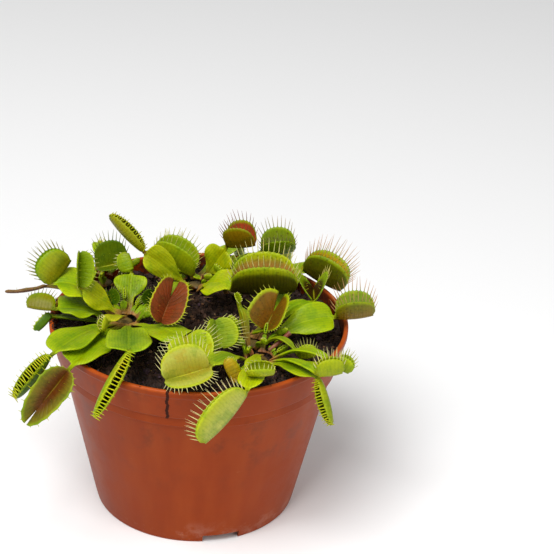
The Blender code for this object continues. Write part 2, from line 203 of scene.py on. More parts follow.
fine = node(mottle, "TexNoise", {"Vector": place, "Scale": fine_size, "Detail": 2.0}).outputs[0]
both = combined(mottle, "ADD", combined(mottle, "MULTIPLY", broad, 0.7),
                combined(mottle, "MULTIPLY", fine, 0.3))
swing = combined(mottle, "MULTIPLY", combined(mottle, "SUBTRACT", both, 0.5), 4.0)
gain = combined(mottle, "ADD", combined(mottle, "MULTIPLY", swing, group_in.outputs["Amount"]), 1.0)
grey = node(mottle, "CombineColor", {0: gain, 1: gain, 2: gain}).outputs[0]
toned = blended(mottle, 1.0, group_in.outputs["Colour"], grey, "MULTIPLY")
mottle.links.new(toned, group_out.inputs["Colour"])
mottle.links.new(both, group_out.inputs["Height"])


def uneven(tree, colour, size, amount):
    """The uneven tone laid over a colour. Returns the group node."""
    made = node(tree, "Group", node_tree=mottle)
    if isinstance(colour, bpy.types.NodeSocket):
        tree.links.new(colour, made.inputs["Colour"])
    else:
        made.inputs["Colour"].default_value = (*colour, 1.0)
    made.inputs["Size"].default_value = size
    made.inputs["Amount"].default_value = amount
    return made


def pot_finish():
    """Terracotta-coloured plastic: faint flow marks down the wall, dark smudges, a few pale
    scuffs, a trace of dust at the foot, soil on the inner wall, and one dried run of peaty water
    down the collar."""
    material, tree, shader = new_material("pot_plastic", 0.5, specular=0.12)
    place = node(tree, "TexCoord").outputs["Object"]
    axes = node(tree, "SeparateXYZ", {0: place})
    x, y, z = axes.outputs[0], axes.outputs[1], axes.outputs[2]
    radius = node(tree, "VectorMath", {0: node(tree, "CombineXYZ", {0: x, 1: y}).outputs[0]},
                  operation="LENGTH").outputs[1]
    base = uneven(tree, paint("#863206"), 22.0, 0.12)
    stretched = node(tree, "Mapping", {"Vector": place, "Scale": (130.0, 130.0, 5.0)}).outputs[0]
    flow = node(tree, "TexNoise", {"Vector": stretched, "Scale": 1.0, "Detail": 4.0}).outputs[0]
    colour = blended(tree, ramped(tree, flow, 0.35, 0.75, 0.0, 0.28), base.outputs["Colour"],
                     paint("#9E4814"))
    # The top of the rolled lip is painted a lighter orange: a painted highlight, not a colour of the
    # plastic.
    lip_highlight = ramped(tree, z, 0.0785, 0.0798)
    colour = blended(tree, combined(tree, "MULTIPLY", lip_highlight, 0.6), colour, paint("#B8541C"))
    patches = node(tree, "TexNoise", {"Vector": place, "Scale": 75.0, "Detail": 6.0,
                                      "Roughness": 0.72}).outputs[0]
    low_down = ramped(tree, z, 0.014, 0.0, 0.0, 1.0)
    dust = combined(tree, "MULTIPLY", low_down, ramped(tree, patches, 0.5, 0.68))
    colour = blended(tree, combined(tree, "MULTIPLY", dust, 0.2), colour, paint("#D2B8A6"))
    smudge = combined(tree, "MULTIPLY", ramped(tree, patches, 0.5, 0.3), ramped(tree, z, 0.02, 0.05))
    colour = blended(tree, combined(tree, "MULTIPLY", smudge, 0.45), colour, paint("#5E2810"))
    scratch_place = node(tree, "Mapping", {"Vector": place, "Rotation": (0.3, 0.5, 0.2),
                                           "Scale": (60.0, 60.0, 420.0)}).outputs[0]
    scratch = node(tree, "TexNoise", {"Vector": scratch_place, "Scale": 1.0,
                                      "Detail": 2.0}).outputs[0]
    scuff = combined(tree, "MULTIPLY", ramped(tree, scratch, 0.7, 0.76),
                     ramped(tree, patches, 0.5, 0.6))
    colour = blended(tree, combined(tree, "MULTIPLY", scuff, 0.4), colour, paint("#C08060"))
    inside = combined(tree, "MULTIPLY", ramped(tree, radius, 0.0584, 0.0579),
                      ramped(tree, z, 0.0715, 0.0725))
    soil = combined(tree, "MULTIPLY", inside, ramped(tree, patches, 0.42, 0.56))
    colour = blended(tree, combined(tree, "MULTIPLY", soil, 0.85), colour, paint("#2B1A12"))
    wobble = node(tree, "TexNoise", {"Vector": node(tree, "CombineXYZ", {2: z}).outputs[0],
                                     "Scale": 420.0, "Detail": 3.0}).outputs[0]
    shifted = combined(tree, "ADD", x, combined(tree, "MULTIPLY",
                                                combined(tree, "SUBTRACT", wobble, 0.5), 0.0022))
    aside = combined(tree, "ABSOLUTE", combined(tree, "SUBTRACT", shifted, RUN_PLACE), 0.0)
    run = combined(tree, "MULTIPLY", ramped(tree, aside, 0.00075, 0.00045),
                   ramped(tree, y, -0.03, -0.035))
    run = combined(tree, "MULTIPLY", run, ramped(tree, z, 0.0655, 0.0665))
    colour = blended(tree, combined(tree, "MULTIPLY", run, 0.92), colour, paint("#22120C"))
    tree.links.new(colour, shader.inputs["Base Color"])
    rough = combined(tree, "ADD", ramped(tree, patches, 0.3, 0.7, 0.38, 0.5),
                     combined(tree, "MULTIPLY", combined(tree, "MAXIMUM", soil, run), 0.4))
    tree.links.new(rough, shader.inputs["Roughness"])
    peel = node(tree, "TexNoise", {"Vector": place, "Scale": 900.0, "Detail": 2.0}).outputs[0]
    relief = combined(tree, "ADD", combined(tree, "MULTIPLY", peel, 0.35), flow)
    bump = node(tree, "Bump", {"Strength": 0.25, "Distance": 0.00012, "Height": relief})
    tree.links.new(bump.outputs[0], shader.inputs["Normal"])
    return material


RUN_PLACE = -0.0112
pot_profile = rounded([
    (0.0, FLOOR_TOP),
    (INNER_FOOT - 0.6, FLOOR_TOP),
    (INNER_FOOT + 0.6, FLOOR_TOP + 1.6),
    (BODY_TOP_RADIUS - WALL, STEP_LOW),
    (RIM_RADIUS - LIP - 0.5, COLLAR_LOW + 2.0),
    (RIM_RADIUS - LIP, POT_HEIGHT - 0.5),
    (RIM_RADIUS - LIP + 0.5, POT_HEIGHT),
    (RIM_RADIUS - 0.5, POT_HEIGHT),
    (RIM_RADIUS, POT_HEIGHT - 0.5),
    (RIM_RADIUS - 0.1, POT_HEIGHT - 2.6),
    (RIM_RADIUS - 0.5, POT_HEIGHT - 3.2),
    (COLLAR_RADIUS, COLLAR_LOW),
    (STEP_RADIUS + 0.2, COLLAR_LOW - 0.5),
    (STEP_RADIUS, STEP_LOW),
    (BODY_TOP_RADIUS, STEP_LOW - 0.5),
    (FOOT_RADIUS + 0.75, 3.4),
    (FOOT_RADIUS, 0.4),
    (FOOT_RADIUS - 0.3, 0.0),
    (INNER_FOOT, 0.0),
    (INNER_FOOT - 0.4, FLOOR_UNDER),
    (PAD_RADIUS + 0.4, FLOOR_UNDER),
    (PAD_RADIUS, 0.0),
    (0.0, 0.0),
], 0.45)
pot_mesh = new_mesh("pot", *turned(pot_profile, POT_AROUND))
pot = new_piece("pot", pot_mesh, pot_finish(), ["pot"])
cutters = []
box = np.array([[x, y, z] for x in (-4.0, 4.0) for y in (-7.5, 7.5) for z in (-3.3, 3.3)])
box_faces = [np.array([[0, 1, 3, 2], [4, 6, 7, 5], [0, 4, 5, 1], [2, 3, 7, 6], [0, 2, 6, 4],
                       [1, 5, 7, 3]])]
for i in range(3):
    turn = math.radians(NOTCH_HEADING + 120.0 * i)
    c, s = math.cos(turn), math.sin(turn)
    middle = np.array([FOOT_RADIUS - WALL / 2, 0.0, 0.0])
    cutters.append((box + middle) @ np.array([[c, s, 0.0], [-s, c, 0.0], [0.0, 0.0, 1.0]]))
drill, drill_faces = turned([(0.0, 12.0), (3.0, 12.0), (3.0, -2.0), (0.0, -2.0)], 32)
for i in range(6):
    turn = math.radians(NOTCH_HEADING + 60.0 * i)
    cutters.append(drill + 25.0 * np.array([math.cos(turn), math.sin(turn), 0.0]))
tools = []
for i, points in enumerate(cutters):
    tool = bpy.data.objects.new(f"tool_{i}", new_mesh(f"tool_{i}", points,
                                                      box_faces if i < 3 else drill_faces))
    bpy.context.scene.collection.objects.link(tool)
    tools.append(tool)
    cut = pot.modifiers.new(tool.name, "BOOLEAN")
    cut.operation = "DIFFERENCE"
    cut.solver = "EXACT"
    cut.object = tool
cut_pot = bpy.data.meshes.new_from_object(
    pot.evaluated_get(bpy.context.evaluated_depsgraph_get()))
pot.modifiers.clear()
pot.data = cut_pot
cut_pot.set_sharp_from_angle(angle=math.radians(38))
for tool in tools:
    bpy.data.objects.remove(tool, do_unlink=True)

# ------------------------------------------------------------------ the peat
# Moist, crumbly black peat: a plug that fills the pot to a few millimetres under the rim, with
# a lumpy top. Loose crumbs, rootlets and a few paler straws lie on it and on the rim.
PEAT_EDGE = 75.2
PEAT_MIDDLE = 76.0
random = np.random.default_rng(7)
wave_length = np.geomspace(2.2, 19.0, 34)
wave_turn = random.uniform(0.0, 2 * math.pi, 34)
wave_start = random.uniform(0.0, 2 * math.pi, 34)


def peat_lumps(x, y):
    """The peat's relief at (x, y): a sum of plane waves of 2 to 19 mm, each as high as its
    length to the power 0.55, folded upward so that lumps are round and the gaps are sharp."""
    phase = (2 * math.pi / wave_length * (np.multiply.outer(x, np.cos(wave_turn))
                                          + np.multiply.outer(y, np.sin(wave_turn))) + wave_start)
    total = (np.sin(phase) * wave_length ** 0.55).sum(axis=-1)
    return 0.75 - 0.17 * np.abs(total)


def peat_height(x, y):
    """The peat's top: slightly mounded towards the middle, plus its lumps."""
    radius = np.hypot(x, y)
    return PEAT_EDGE + (PEAT_MIDDLE - PEAT_EDGE) * (1 - (radius / 57.0) ** 2) + peat_lumps(x, y)


def peat_finish(name, lit):
    """Peat: near-black brown grains with browner ones among them, dull but damp in places."""
    material, tree, shader = new_material(name, 0.85, specular=0.35)
    place = node(tree, "TexCoord").outputs["Object"]
    tint = node(tree, "Attribute", attribute_name="tint").outputs["Color"]
    tone = uneven(tree, tint, 420.0, 0.35)
    grain = node(tree, "TexVoronoi", {"Vector": place, "Scale": 850.0}).outputs["Distance"]
    colour = blended(tree, ramped(tree, grain, 0.25, 0.7, 0.0, lit), tone.outputs["Colour"],
                     paint("#4A3020"))
    tree.links.new(colour, shader.inputs["Base Color"])
    tree.links.new(ramped(tree, tone.outputs["Height"], 0.35, 0.65, 0.55, 0.95),
                   shader.inputs["Roughness"])
    relief = combined(tree, "SUBTRACT", tone.outputs["Height"], grain)
    bump = node(tree, "Bump", {"Strength": 0.9, "Distance": 0.0006, "Height": relief})
    tree.links.new(bump.outputs[0], shader.inputs["Normal"])
    return material


def tint_points(mesh, colours, name="tint"):
    """Stores one colour for each point of the mesh."""
    layer = mesh.attributes.new(name, "FLOAT_COLOR", "POINT")
    rgba = np.concatenate([colours, np.ones((len(colours), 1))], axis=1)
    layer.data.foreach_set("color", rgba.astype(np.float32).ravel())


top_radius = np.linspace(0.0, RIM_RADIUS - LIP - 0.8, 112)
peat_profile = np.concatenate([
    np.stack([top_radius, np.full(112, PEAT_EDGE)], axis=1),
    [(RIM_RADIUS - LIP - 1.2, COLLAR_LOW + 2.0), (BODY_TOP_RADIUS - WALL - 0.3, STEP_LOW),
     (INNER_FOOT + 0.3, FLOOR_TOP + 1.9), (INNER_FOOT - 1.2, FLOOR_TOP + 0.3),
     (0.0, FLOOR_TOP + 0.3)]])
peat_points, peat_faces = turned(peat_profile, 300)
on_top = peat_points[:, 2] > PEAT_EDGE - 0.01
peat_points[on_top, 2] = peat_height(peat_points[on_top, 0], peat_points[on_top, 1])
peat_mesh = new_mesh("peat", peat_points, peat_faces)
# The peat's colour goes from near-black low down to brown high up: painted shade in the hollows between
# the lumps and on the lower edge by the pot wall.
painted_top_light = np.clip((peat_points[:, 2] - 74.5) / 2.6, 0.0, 1.0)[:, None]
tint_points(peat_mesh, paint("#120B07") * (1 - painted_top_light) + paint("#452C1C") * painted_top_light)
new_piece("peat", peat_mesh, peat_finish("peat", 0.3), ["peat"])

# Crumbs: rough twenty-sided grains, the larger ones half sunk into the surface.
golden = (1 + 5 ** 0.5) / 2
ball = np.array([(-1, golden, 0), (1, golden, 0), (-1, -golden, 0), (1, -golden, 0),
                 (0, -1, golden), (0, 1, golden), (0, -1, -golden), (0, 1, -golden),
                 (golden, 0, -1), (golden, 0, 1), (-golden, 0, -1), (-golden, 0, 1)]) / 1.9
ball_faces = np.array([(0, 11, 5), (0, 5, 1), (0, 1, 7), (0, 7, 10), (0, 10, 11), (1, 5, 9),
                       (5, 11, 4), (11, 10, 2), (10, 7, 6), (7, 1, 8), (3, 9, 4), (3, 4, 2),
                       (3, 2, 6), (3, 6, 8), (3, 8, 9), (4, 9, 5), (2, 4, 11), (6, 2, 10),
                       (8, 6, 7), (9, 8, 1)])
PEAT_TONES = np.array([paint(code) for code in
                       ("#1A100A", "#2E1D14", "#4A3022", "#44303A", "#6A482E", "#9A7550")])


def crumbs(centres, sizes, tones):
    """Grains of the given sizes at the centres: each is the ball with every corner moved by a
    random share of its radius and squashed a little. Returns points, faces and tints."""
    count = len(centres)
    shape = ball[None] * random.uniform(0.6, 1.25, (count, 12, 1))
    shape = shape * random.uniform(0.65, 1.2, (count, 1, 3)) * sizes[:, None, None]
    points = (shape + centres[:, None]).reshape(-1, 3)
    faces = (ball_faces[None] + 12 * np.arange(count)[:, None, None]).reshape(-1, 3)
    return points, [faces], np.repeat(PEAT_TONES[tones], 12, axis=0)


count = 3600
radius = 56.6 * np.sqrt(random.uniform(0.0, 1.0, count))
angle = random.uniform(0.0, 2 * math.pi, count)
size = random.uniform(0.26, 0.6, count) + 1.2 * random.uniform(0.0, 1.0, count) ** 6
grain_x, grain_y = radius * np.cos(angle), radius * np.sin(angle)
bed = np.stack([grain_x, grain_y, peat_height(grain_x, grain_y) + 0.15 * size], axis=1)
bed_tones = random.choice(6, count, p=(0.3, 0.24, 0.2, 0.12, 0.1, 0.04))
# Spilled crumbs: most on the left of the rim and the wall under it, some along the front.
spill = 150
where = np.where(random.uniform(0, 1, spill) < 0.6, random.normal(186, 13, spill),
                 random.normal(262, 30, spill))
turn = np.radians(where)
drop = random.uniform(0.0, 1.0, spill) ** 2.2
wall_radius = np.where(drop < 0.12, random.uniform(58.2, 59.8, spill), 57.9 - 0.4 * drop)
wall_height = np.where(drop < 0.12, 80.15, 79.4 - 3.8 * drop)
on_wall = np.stack([wall_radius * np.cos(turn), wall_radius * np.sin(turn), wall_height], axis=1)
wall_size = random.uniform(0.2, 0.55, spill)
grains, grain_faces, grain_tints = crumbs(
    np.concatenate([bed, on_wall]), np.concatenate([size, wall_size]),
    np.concatenate([bed_tones, random.choice(4, spill)]))
crumb_mesh = new_mesh("peat_crumbs", grains, grain_faces)
tint_points(crumb_mesh, grain_tints)
new_piece("peat_crumbs", crumb_mesh, peat_finish("peat_crumb", 0.2), [])


def unit(vectors):
    """Vectors made one long."""
    return vectors / (np.linalg.norm(vectors, axis=-1, keepdims=True) + 1e-12)


def strands(root, heading, bend, length, radius, stations=6, sides=5, tip=0.15):
    """Tapered strands: the middle line is root + length (s heading + s^2 bend), and the radius
    falls from 1 to tip times its size, on s from 0 to 1. Returns points (strand, point, xyz)
    and the faces of all of them; each strand is closed by a point at its root and its tip."""
    count = len(root)
    s = np.linspace(0.0, 1.0, stations)
    line = root[:, None] + length[:, None, None] * (
        s[None, :, None] * heading[:, None] + s[None, :, None] ** 2 * bend[:, None])
    along = unit(heading[:, None] + 2 * s[None, :, None] * bend[:, None])
    level = np.where(np.abs(heading[:, 2:]) > 0.9, [[1.0, 0.0, 0.0]], [[0.0, 0.0, 1.0]])
    across = unit(np.cross(along, level[:, None]))
    third = np.cross(along, across)
    turn = np.linspace(0.0, 2 * math.pi, sides, endpoint=False)
    taper = radius[:, None] * ((1 - tip) * (1 - s) ** 0.8 + tip)
    ring = (across[:, :, None] * np.cos(turn)[:, None] + third[:, :, None] * np.sin(turn)[:, None])
    tube = (line[:, :, None] + ring * taper[..., None, None]).reshape(count, -1, 3)
    points = np.concatenate([tube, line[:, :1], line[:, -1:]], axis=1)
    i, j = np.meshgrid(np.arange(stations - 1), np.arange(sides), indexing="ij")
    k = (j + 1) % sides
    quads = np.stack([i * sides + j, i * sides + k, (i + 1) * sides + k, (i + 1) * sides + j],
                     axis=-1).reshape(-1, 4)
    j, k = np.arange(sides), (np.arange(sides) + 1) % sides
    start = np.stack([np.full(sides, stations * sides), k, j], axis=1)
    last = (stations - 1) * sides
    end = np.stack([last + j, last + k, np.full(sides, stations * sides + 1)], axis=1)
    step = (stations * sides + 2) * np.arange(count)[:, None, None]
    return points, [(quads[None] + step).reshape(-1, 4),
                    (np.concatenate([start, end])[None] + step).reshape(-1, 3)]


# Rootlets and straws lying on the peat, bent in their own plane.
count = 520
radius = 55.0 * np.sqrt(random.uniform(0.0, 1.0, count))
angle = random.uniform(0.0, 2 * math.pi, count)
root_x, root_y = radius * np.cos(angle), radius * np.sin(angle)
roots = np.stack([root_x, root_y, peat_height(root_x, root_y) + 0.25], axis=1)
turn = random.uniform(0.0, 2 * math.pi, count)
heading = unit(np.stack([np.cos(turn), np.sin(turn), random.uniform(-0.02, 0.25, count)], axis=1))
bow = random.uniform(-0.7, 0.7, count)
bend = np.stack([-np.sin(turn) * bow, np.cos(turn) * bow, -0.3 * heading[:, 2]], axis=1)
length = random.uniform(1.5, 7.0, count)
length = np.minimum(length, np.maximum(56.5 - radius, 1.2))
straws, straw_faces = strands(roots, heading, bend, length, random.uniform(0.07, 0.2, count),
                              stations=5, sides=4, tip=0.5)
straw_tones = random.choice(6, count, p=(0.1, 0.2, 0.3, 0.1, 0.2, 0.1))
straw_mesh = new_mesh("peat_straws", straws.reshape(-1, 3), straw_faces)
tint_points(straw_mesh, np.repeat(PEAT_TONES[straw_tones], straws.shape[1], axis=0))
new_piece("peat_straws", straw_mesh, peat_finish("peat_straw", 0.1), [])

# ------------------------------------------------------------------ the crowns
# Each crown is the top of a rhizome: a low olive-brown dome of leaf bases, ribbed where the
# bases clasp it, and darker towards its foot, which is painted shade where it sinks into the peat.
CROWN_RADIUS = 3.4
CROWN_HEIGHT = 3.0
CROWNS = {"west": (-30, 1), "north": (-2, 35), "middle": (21, -15), "south": (24, -28),
          "back_left": (-40, 35), "back": (15, 30)}
CROWN_FOOT = 76.5


def smooth(x):
    """A ramp from 0 to 1 with soft ends: 3x^2 - 2x^3."""
    x = np.clip(x, 0.0, 1.0)
    return x * x * (3.0 - 2.0 * x)


def flesh_finish(name, roughness):
    """Fleshy plant skin that takes its colour from the piece's own tint, with fine ribs."""
    material, tree, shader = new_material(name, roughness, subsurface=0.12, specular=0.4)
    shader.inputs["Subsurface Radius"].default_value = (1.0, 0.6, 0.3)
    shader.inputs["Subsurface Scale"].default_value = 0.001
    tint = node(tree, "Attribute", attribute_name="tint").outputs["Color"]
    tone = uneven(tree, tint, 500.0, 0.16)
    tree.links.new(tone.outputs["Colour"], shader.inputs["Base Color"])
    bump = node(tree, "Bump", {"Strength": 0.4, "Distance": 0.0002,
                               "Height": tone.outputs["Height"]})
    tree.links.new(bump.outputs[0], shader.inputs["Normal"])
    return material


crown_finish = flesh_finish("crown", 0.5)
for name, (middle_x, middle_y) in CROWNS.items():
    s = np.linspace(0.0, 1.0, 15)
    side = np.stack([CROWN_RADIUS * np.sin(s * math.pi / 2),
                     0.5 * CROWN_HEIGHT * np.cos(s * math.pi / 2)], axis=1)
    points, faces = turned(np.concatenate([side, [(CROWN_RADIUS * 0.9, -0.4), (0.0, -0.4)]]), 48)
    angle = np.arctan2(points[:, 1], points[:, 0])
    rib = 1 + 0.13 * np.abs(np.sin(2.5 * angle + middle_x)) * smooth(points[:, 2] / 2.0)
    points[:, :2] *= rib[:, None]
    # The dome goes from near-black at its foot to olive-brown on top: painted shade where it meets the
    # peat.
    blush_and_shade = smooth(points[:, 2] / CROWN_HEIGHT * 2)[:, None]
    tints = paint("#22160C") * (1 - blush_and_shade) + paint("#6E5A2A") * blush_and_shade
    points += np.array([middle_x, middle_y, CROWN_FOOT])
    mesh = new_mesh(f"crown_{name}", points, faces)
    tint_points(mesh, tints)
    new_piece(f"crown_{name}", mesh, crown_finish, [f"crown_{name}"])

# ------------------------------------------------------------------ the west crown's leaves
# Each leaf is one piece: a petiole that widens into a flat green blade, a narrow neck and a
# hinged trap. The trap's two lobes end in a pale margin with a comb of stiff teeth.
#   ring: heading of the base round its crown, 0 outer or 1 inner ring; neck: where the trap
#   starts; arch: how far the petiole bows up; reach: neck to tip along the hinge; mouth: the
#   way the trap opens; blade and lobe: widths; fold: a lobe's slope at the hinge and margin
#   green: blade middle and edge; foot: colour at the crown; out, into: the lobes' outer and
#   inner skins; flush: a patch on the outer skin and its strength; zone: the inner skin's
#   colour towards the margin and its strength; edge: margin; comb: teeth;
#   teeth: how many on a side, their length, their slope past the lobe's own; specks: dark dots
RING_RADIUS = (5.4, 2.6)
RING_HEIGHT = (78.0, 80.6)
LEAF_THICKNESS = 0.62
NECK_LENGTH = 1.4
BLADE_WIDEST = 0.66
BLADE_END = 0.9
USUAL = dict(green=("#7FA306", "#A9C40C"), foot="#B98A5E", collar="#93980C", out="#8FA308",
             into="#86A00C", edge="#B3C816", comb="#E8E3BE", teeth=(13, 3.6, -8),
             seam="#C5CC26", flush=None, zone=(None, 0.45), specks=0.0, ripple=0.6, fan=0.6)


def half_section(t, width, first, last):
    """Half a folded cross-section: an arc of length width that leaves the midrib at the slope
    first and ends at the slope last. Returns the sideways and upward distances."""
    start = math.radians(first)
    turn = math.radians(last) - start
    slope = start + turn * t
    return (width * (np.sin(slope) - math.sin(start)) / turn,
            width * (math.cos(start) - np.cos(slope)) / turn)


def petiole_sheet(leaf, u, v):
    """Petiole and blade. The midrib is the parabola base-arch-neck; across it lies a shallow V
    with drooping edges, whose half-width grows towards the shoulders, rounds off at the neck
    and flares where it clasps the crown. The edges wave a little. Returns points and width."""
    heading, ring = leaf["ring"]
    centre = CROWNS[leaf["crown"]]
    turn = math.radians(heading)
    base = np.array([centre[0] + RING_RADIUS[ring] * math.cos(turn),
                     centre[1] + RING_RADIUS[ring] * math.sin(turn), RING_HEIGHT[ring]])
    neck = np.array(leaf["neck"], float)
    middle = (base + neck) / 2.0 + np.array([0.0, 0.0, 2.0 * leaf["arch"]])
    u = u[:, None]
    s = u * (1 - NECK_LENGTH / np.linalg.norm(neck - base))
    rib = (1 - s) ** 2 * base + 2 * s * (1 - s) * middle + s * s * neck
    forward = unit(2 * (1 - s) * (middle - base) + 2 * s * (neck - middle))
    face = np.array(leaf.get("face", (0.0, 0.0, 1.0)))
    up = unit(face - forward * (forward @ face)[:, None])
    side = np.cross(forward, up)
    blade = leaf["blade"]
    stem = leaf.get("stem", 0.12)
    stalk = leaf.get("stalk", 1.0)
    widening = stalk + (blade - stalk) * smooth((u - stem) / (BLADE_WIDEST - stem))
    past = np.clip((u - BLADE_WIDEST) / (BLADE_END - BLADE_WIDEST), 0.0, 1.0)
    rounding = np.sqrt(1.0 - past ** 2.2)
    width = np.maximum(widening * rounding, 0.8) + 0.7 * np.exp(-(np.maximum(u, 0) / 0.07) ** 2)
    ahead = leaf.get("shoulder", 0.5) * blade * np.sin(math.pi * np.clip(2 * u - 1, 0.0, 1.0))
    t = np.abs(v)[None, :]
    keel = leaf.get("keel", 25.0)
    out, rise = half_section(t, width, keel, keel - leaf.get("flat", 30.0) - 0.1)
    wave = (leaf["ripple"] * t ** 3 * smooth(u * 3) * smooth((1 - u) * 6)
            * np.sin(u * (9 + blade) + 2.1 * np.sign(v) + blade) * min(blade, 8.0) / 8.0)
    wave = wave + 0.28 * t * smooth(u * 3) * smooth((1 - u) * 5) * np.sin(
        17 * u + 5 * v[None] + 2 * blade) * min(blade, 8.0) / 8.0
    return (rib[:, None] + side[:, None] * (out * np.sign(v))[..., None]
            + up[:, None] * (rise + wave)[..., None]
            + forward[:, None] * (ahead * t ** 1.5)[..., None]), width[:, 0]


def trap_frame(leaf):
    """Length of the hinge and the trap's three directions: along the hinge, up out of the
    mouth, and sideways."""
    reach = np.array(leaf["reach"], float)
    length = np.linalg.norm(reach)
    hinge = reach / length
    mouth = np.array(leaf["mouth"], float)
    up = unit(mouth - hinge * (hinge @ mouth))
    return length, hinge, up, np.cross(hinge, up)


def trap_sheet(leaf, u, v, crest):
    """The trap: rows fan from the hinge, which bows down, to the rounded margin of each lobe.
    A row's width is lobe sin(a)^taper for a from 0 to pi along the hinge, and its section is an
    arc. The margin swells at each tooth, where crest is 1."""
    length, hinge, up, side = trap_frame(leaf)
    corner = 0.07
    turn = corner + (math.pi - 2 * corner) * u
    root = np.maximum(length * (1 - np.cos(turn) / math.cos(corner)) / 2.0, 0.5)[:, None]
    near, far = leaf.get("sweep", (0.5, 1.0))
    overhang = np.where(turn < math.pi / 2, near, far)
    margin = (length / 2.0 - (length / 2.0 + overhang) * np.cos(turn) / math.cos(corner))[:, None]
    width = (leaf["lobe"] * np.sin(turn) ** leaf.get("taper", 0.6))[:, None]
    t = np.abs(v)[None, :]
    out, rise = half_section(t, width, *leaf["fold"])
    slope = np.radians(leaf["fold"][0] + (leaf["fold"][1] - leaf["fold"][0]) * t)
    swell = 0.4 * crest * t ** 8
    out, rise = out + swell * np.cos(slope), rise + swell * np.sin(slope)
    ahead = root + (margin - root) * t ** 1.2
    bow = 0.2 * length * (root / length) * (1 - root / length)
    return (np.array(leaf["neck"], float) + hinge * ahead[..., None]
            + side * (out * np.sign(v))[..., None] + up * (rise - bow)[..., None])


def thick_sheet(sheet, above, below):
    """A closed leaf from a sheet of points (row, column): its upper skin lies the distance
    above along the sheet's normal, its lower skin the distance below, and a wall joins them."""
    normal = unit(np.cross(np.gradient(sheet, axis=1), np.gradient(sheet, axis=0)))
    rows, columns = sheet.shape[:2]
    points = np.concatenate([(sheet + normal * above[..., None]).reshape(-1, 3),
                             (sheet - normal * below[..., None]).reshape(-1, 3)])
    c = (np.arange(rows - 1)[:, None] * columns + np.arange(columns - 1)).ravel()
    upper = np.stack([c, c + 1, c + columns + 1, c + columns], axis=1)
    lower = upper[:, ::-1] + rows * columns
    j = np.arange(columns - 1)
    i = np.arange(rows - 1) * columns
    last = (rows - 1) * columns
    start = [np.concatenate([j + 1, last + j, i, i + 2 * columns - 1]),
             np.concatenate([j, last + j + 1, i + columns, i + columns - 1])]
    wall = np.stack([start[0], start[1], start[1] + rows * columns, start[0] + rows * columns],
                    axis=1)
    return points, [upper, lower, wall], normal


def between(one, other, share):
    """A mix of two colours, point by point."""
    return one * (1 - share[..., None]) + other * share[..., None]


def comb_teeth(leaf, sheet, rows, sign, seed):
    """The teeth of one margin. Each leaves the margin at the lobe's end slope plus its own,
    leans outward along the hinge towards both ends, and curls slightly inward."""
    long, past = leaf["teeth"][1:]
    hinge, up, side = trap_frame(leaf)[1:]
    root = sheet[rows, -1 if sign > 0 else 0]
    share = rows / (len(sheet) - 1)
    jitter = np.random.default_rng(seed).uniform(-1.0, 1.0, (3, len(rows)))
    slope = np.radians(leaf["fold"][1] + past + 7 * jitter[0])[:, None]
    outward = sign * side * np.cos(slope) + up * np.sin(slope)
    inward = -sign * side * np.sin(slope) + up * np.cos(slope)
    spread = leaf["fan"] * (2 * share - 1) + 0.12 * jitter[1]
    heading = unit(outward + hinge * spread[:, None])
    size = long * (0.62 + 0.38 * np.sin(math.pi * share)) * (1 + 0.12 * jitter[2])
    thick = np.full(len(rows), leaf.get("tooth", 0.19))
    return strands(root - heading * 0.35, heading, leaf.get("curl", 0.12) * inward, size, thick)


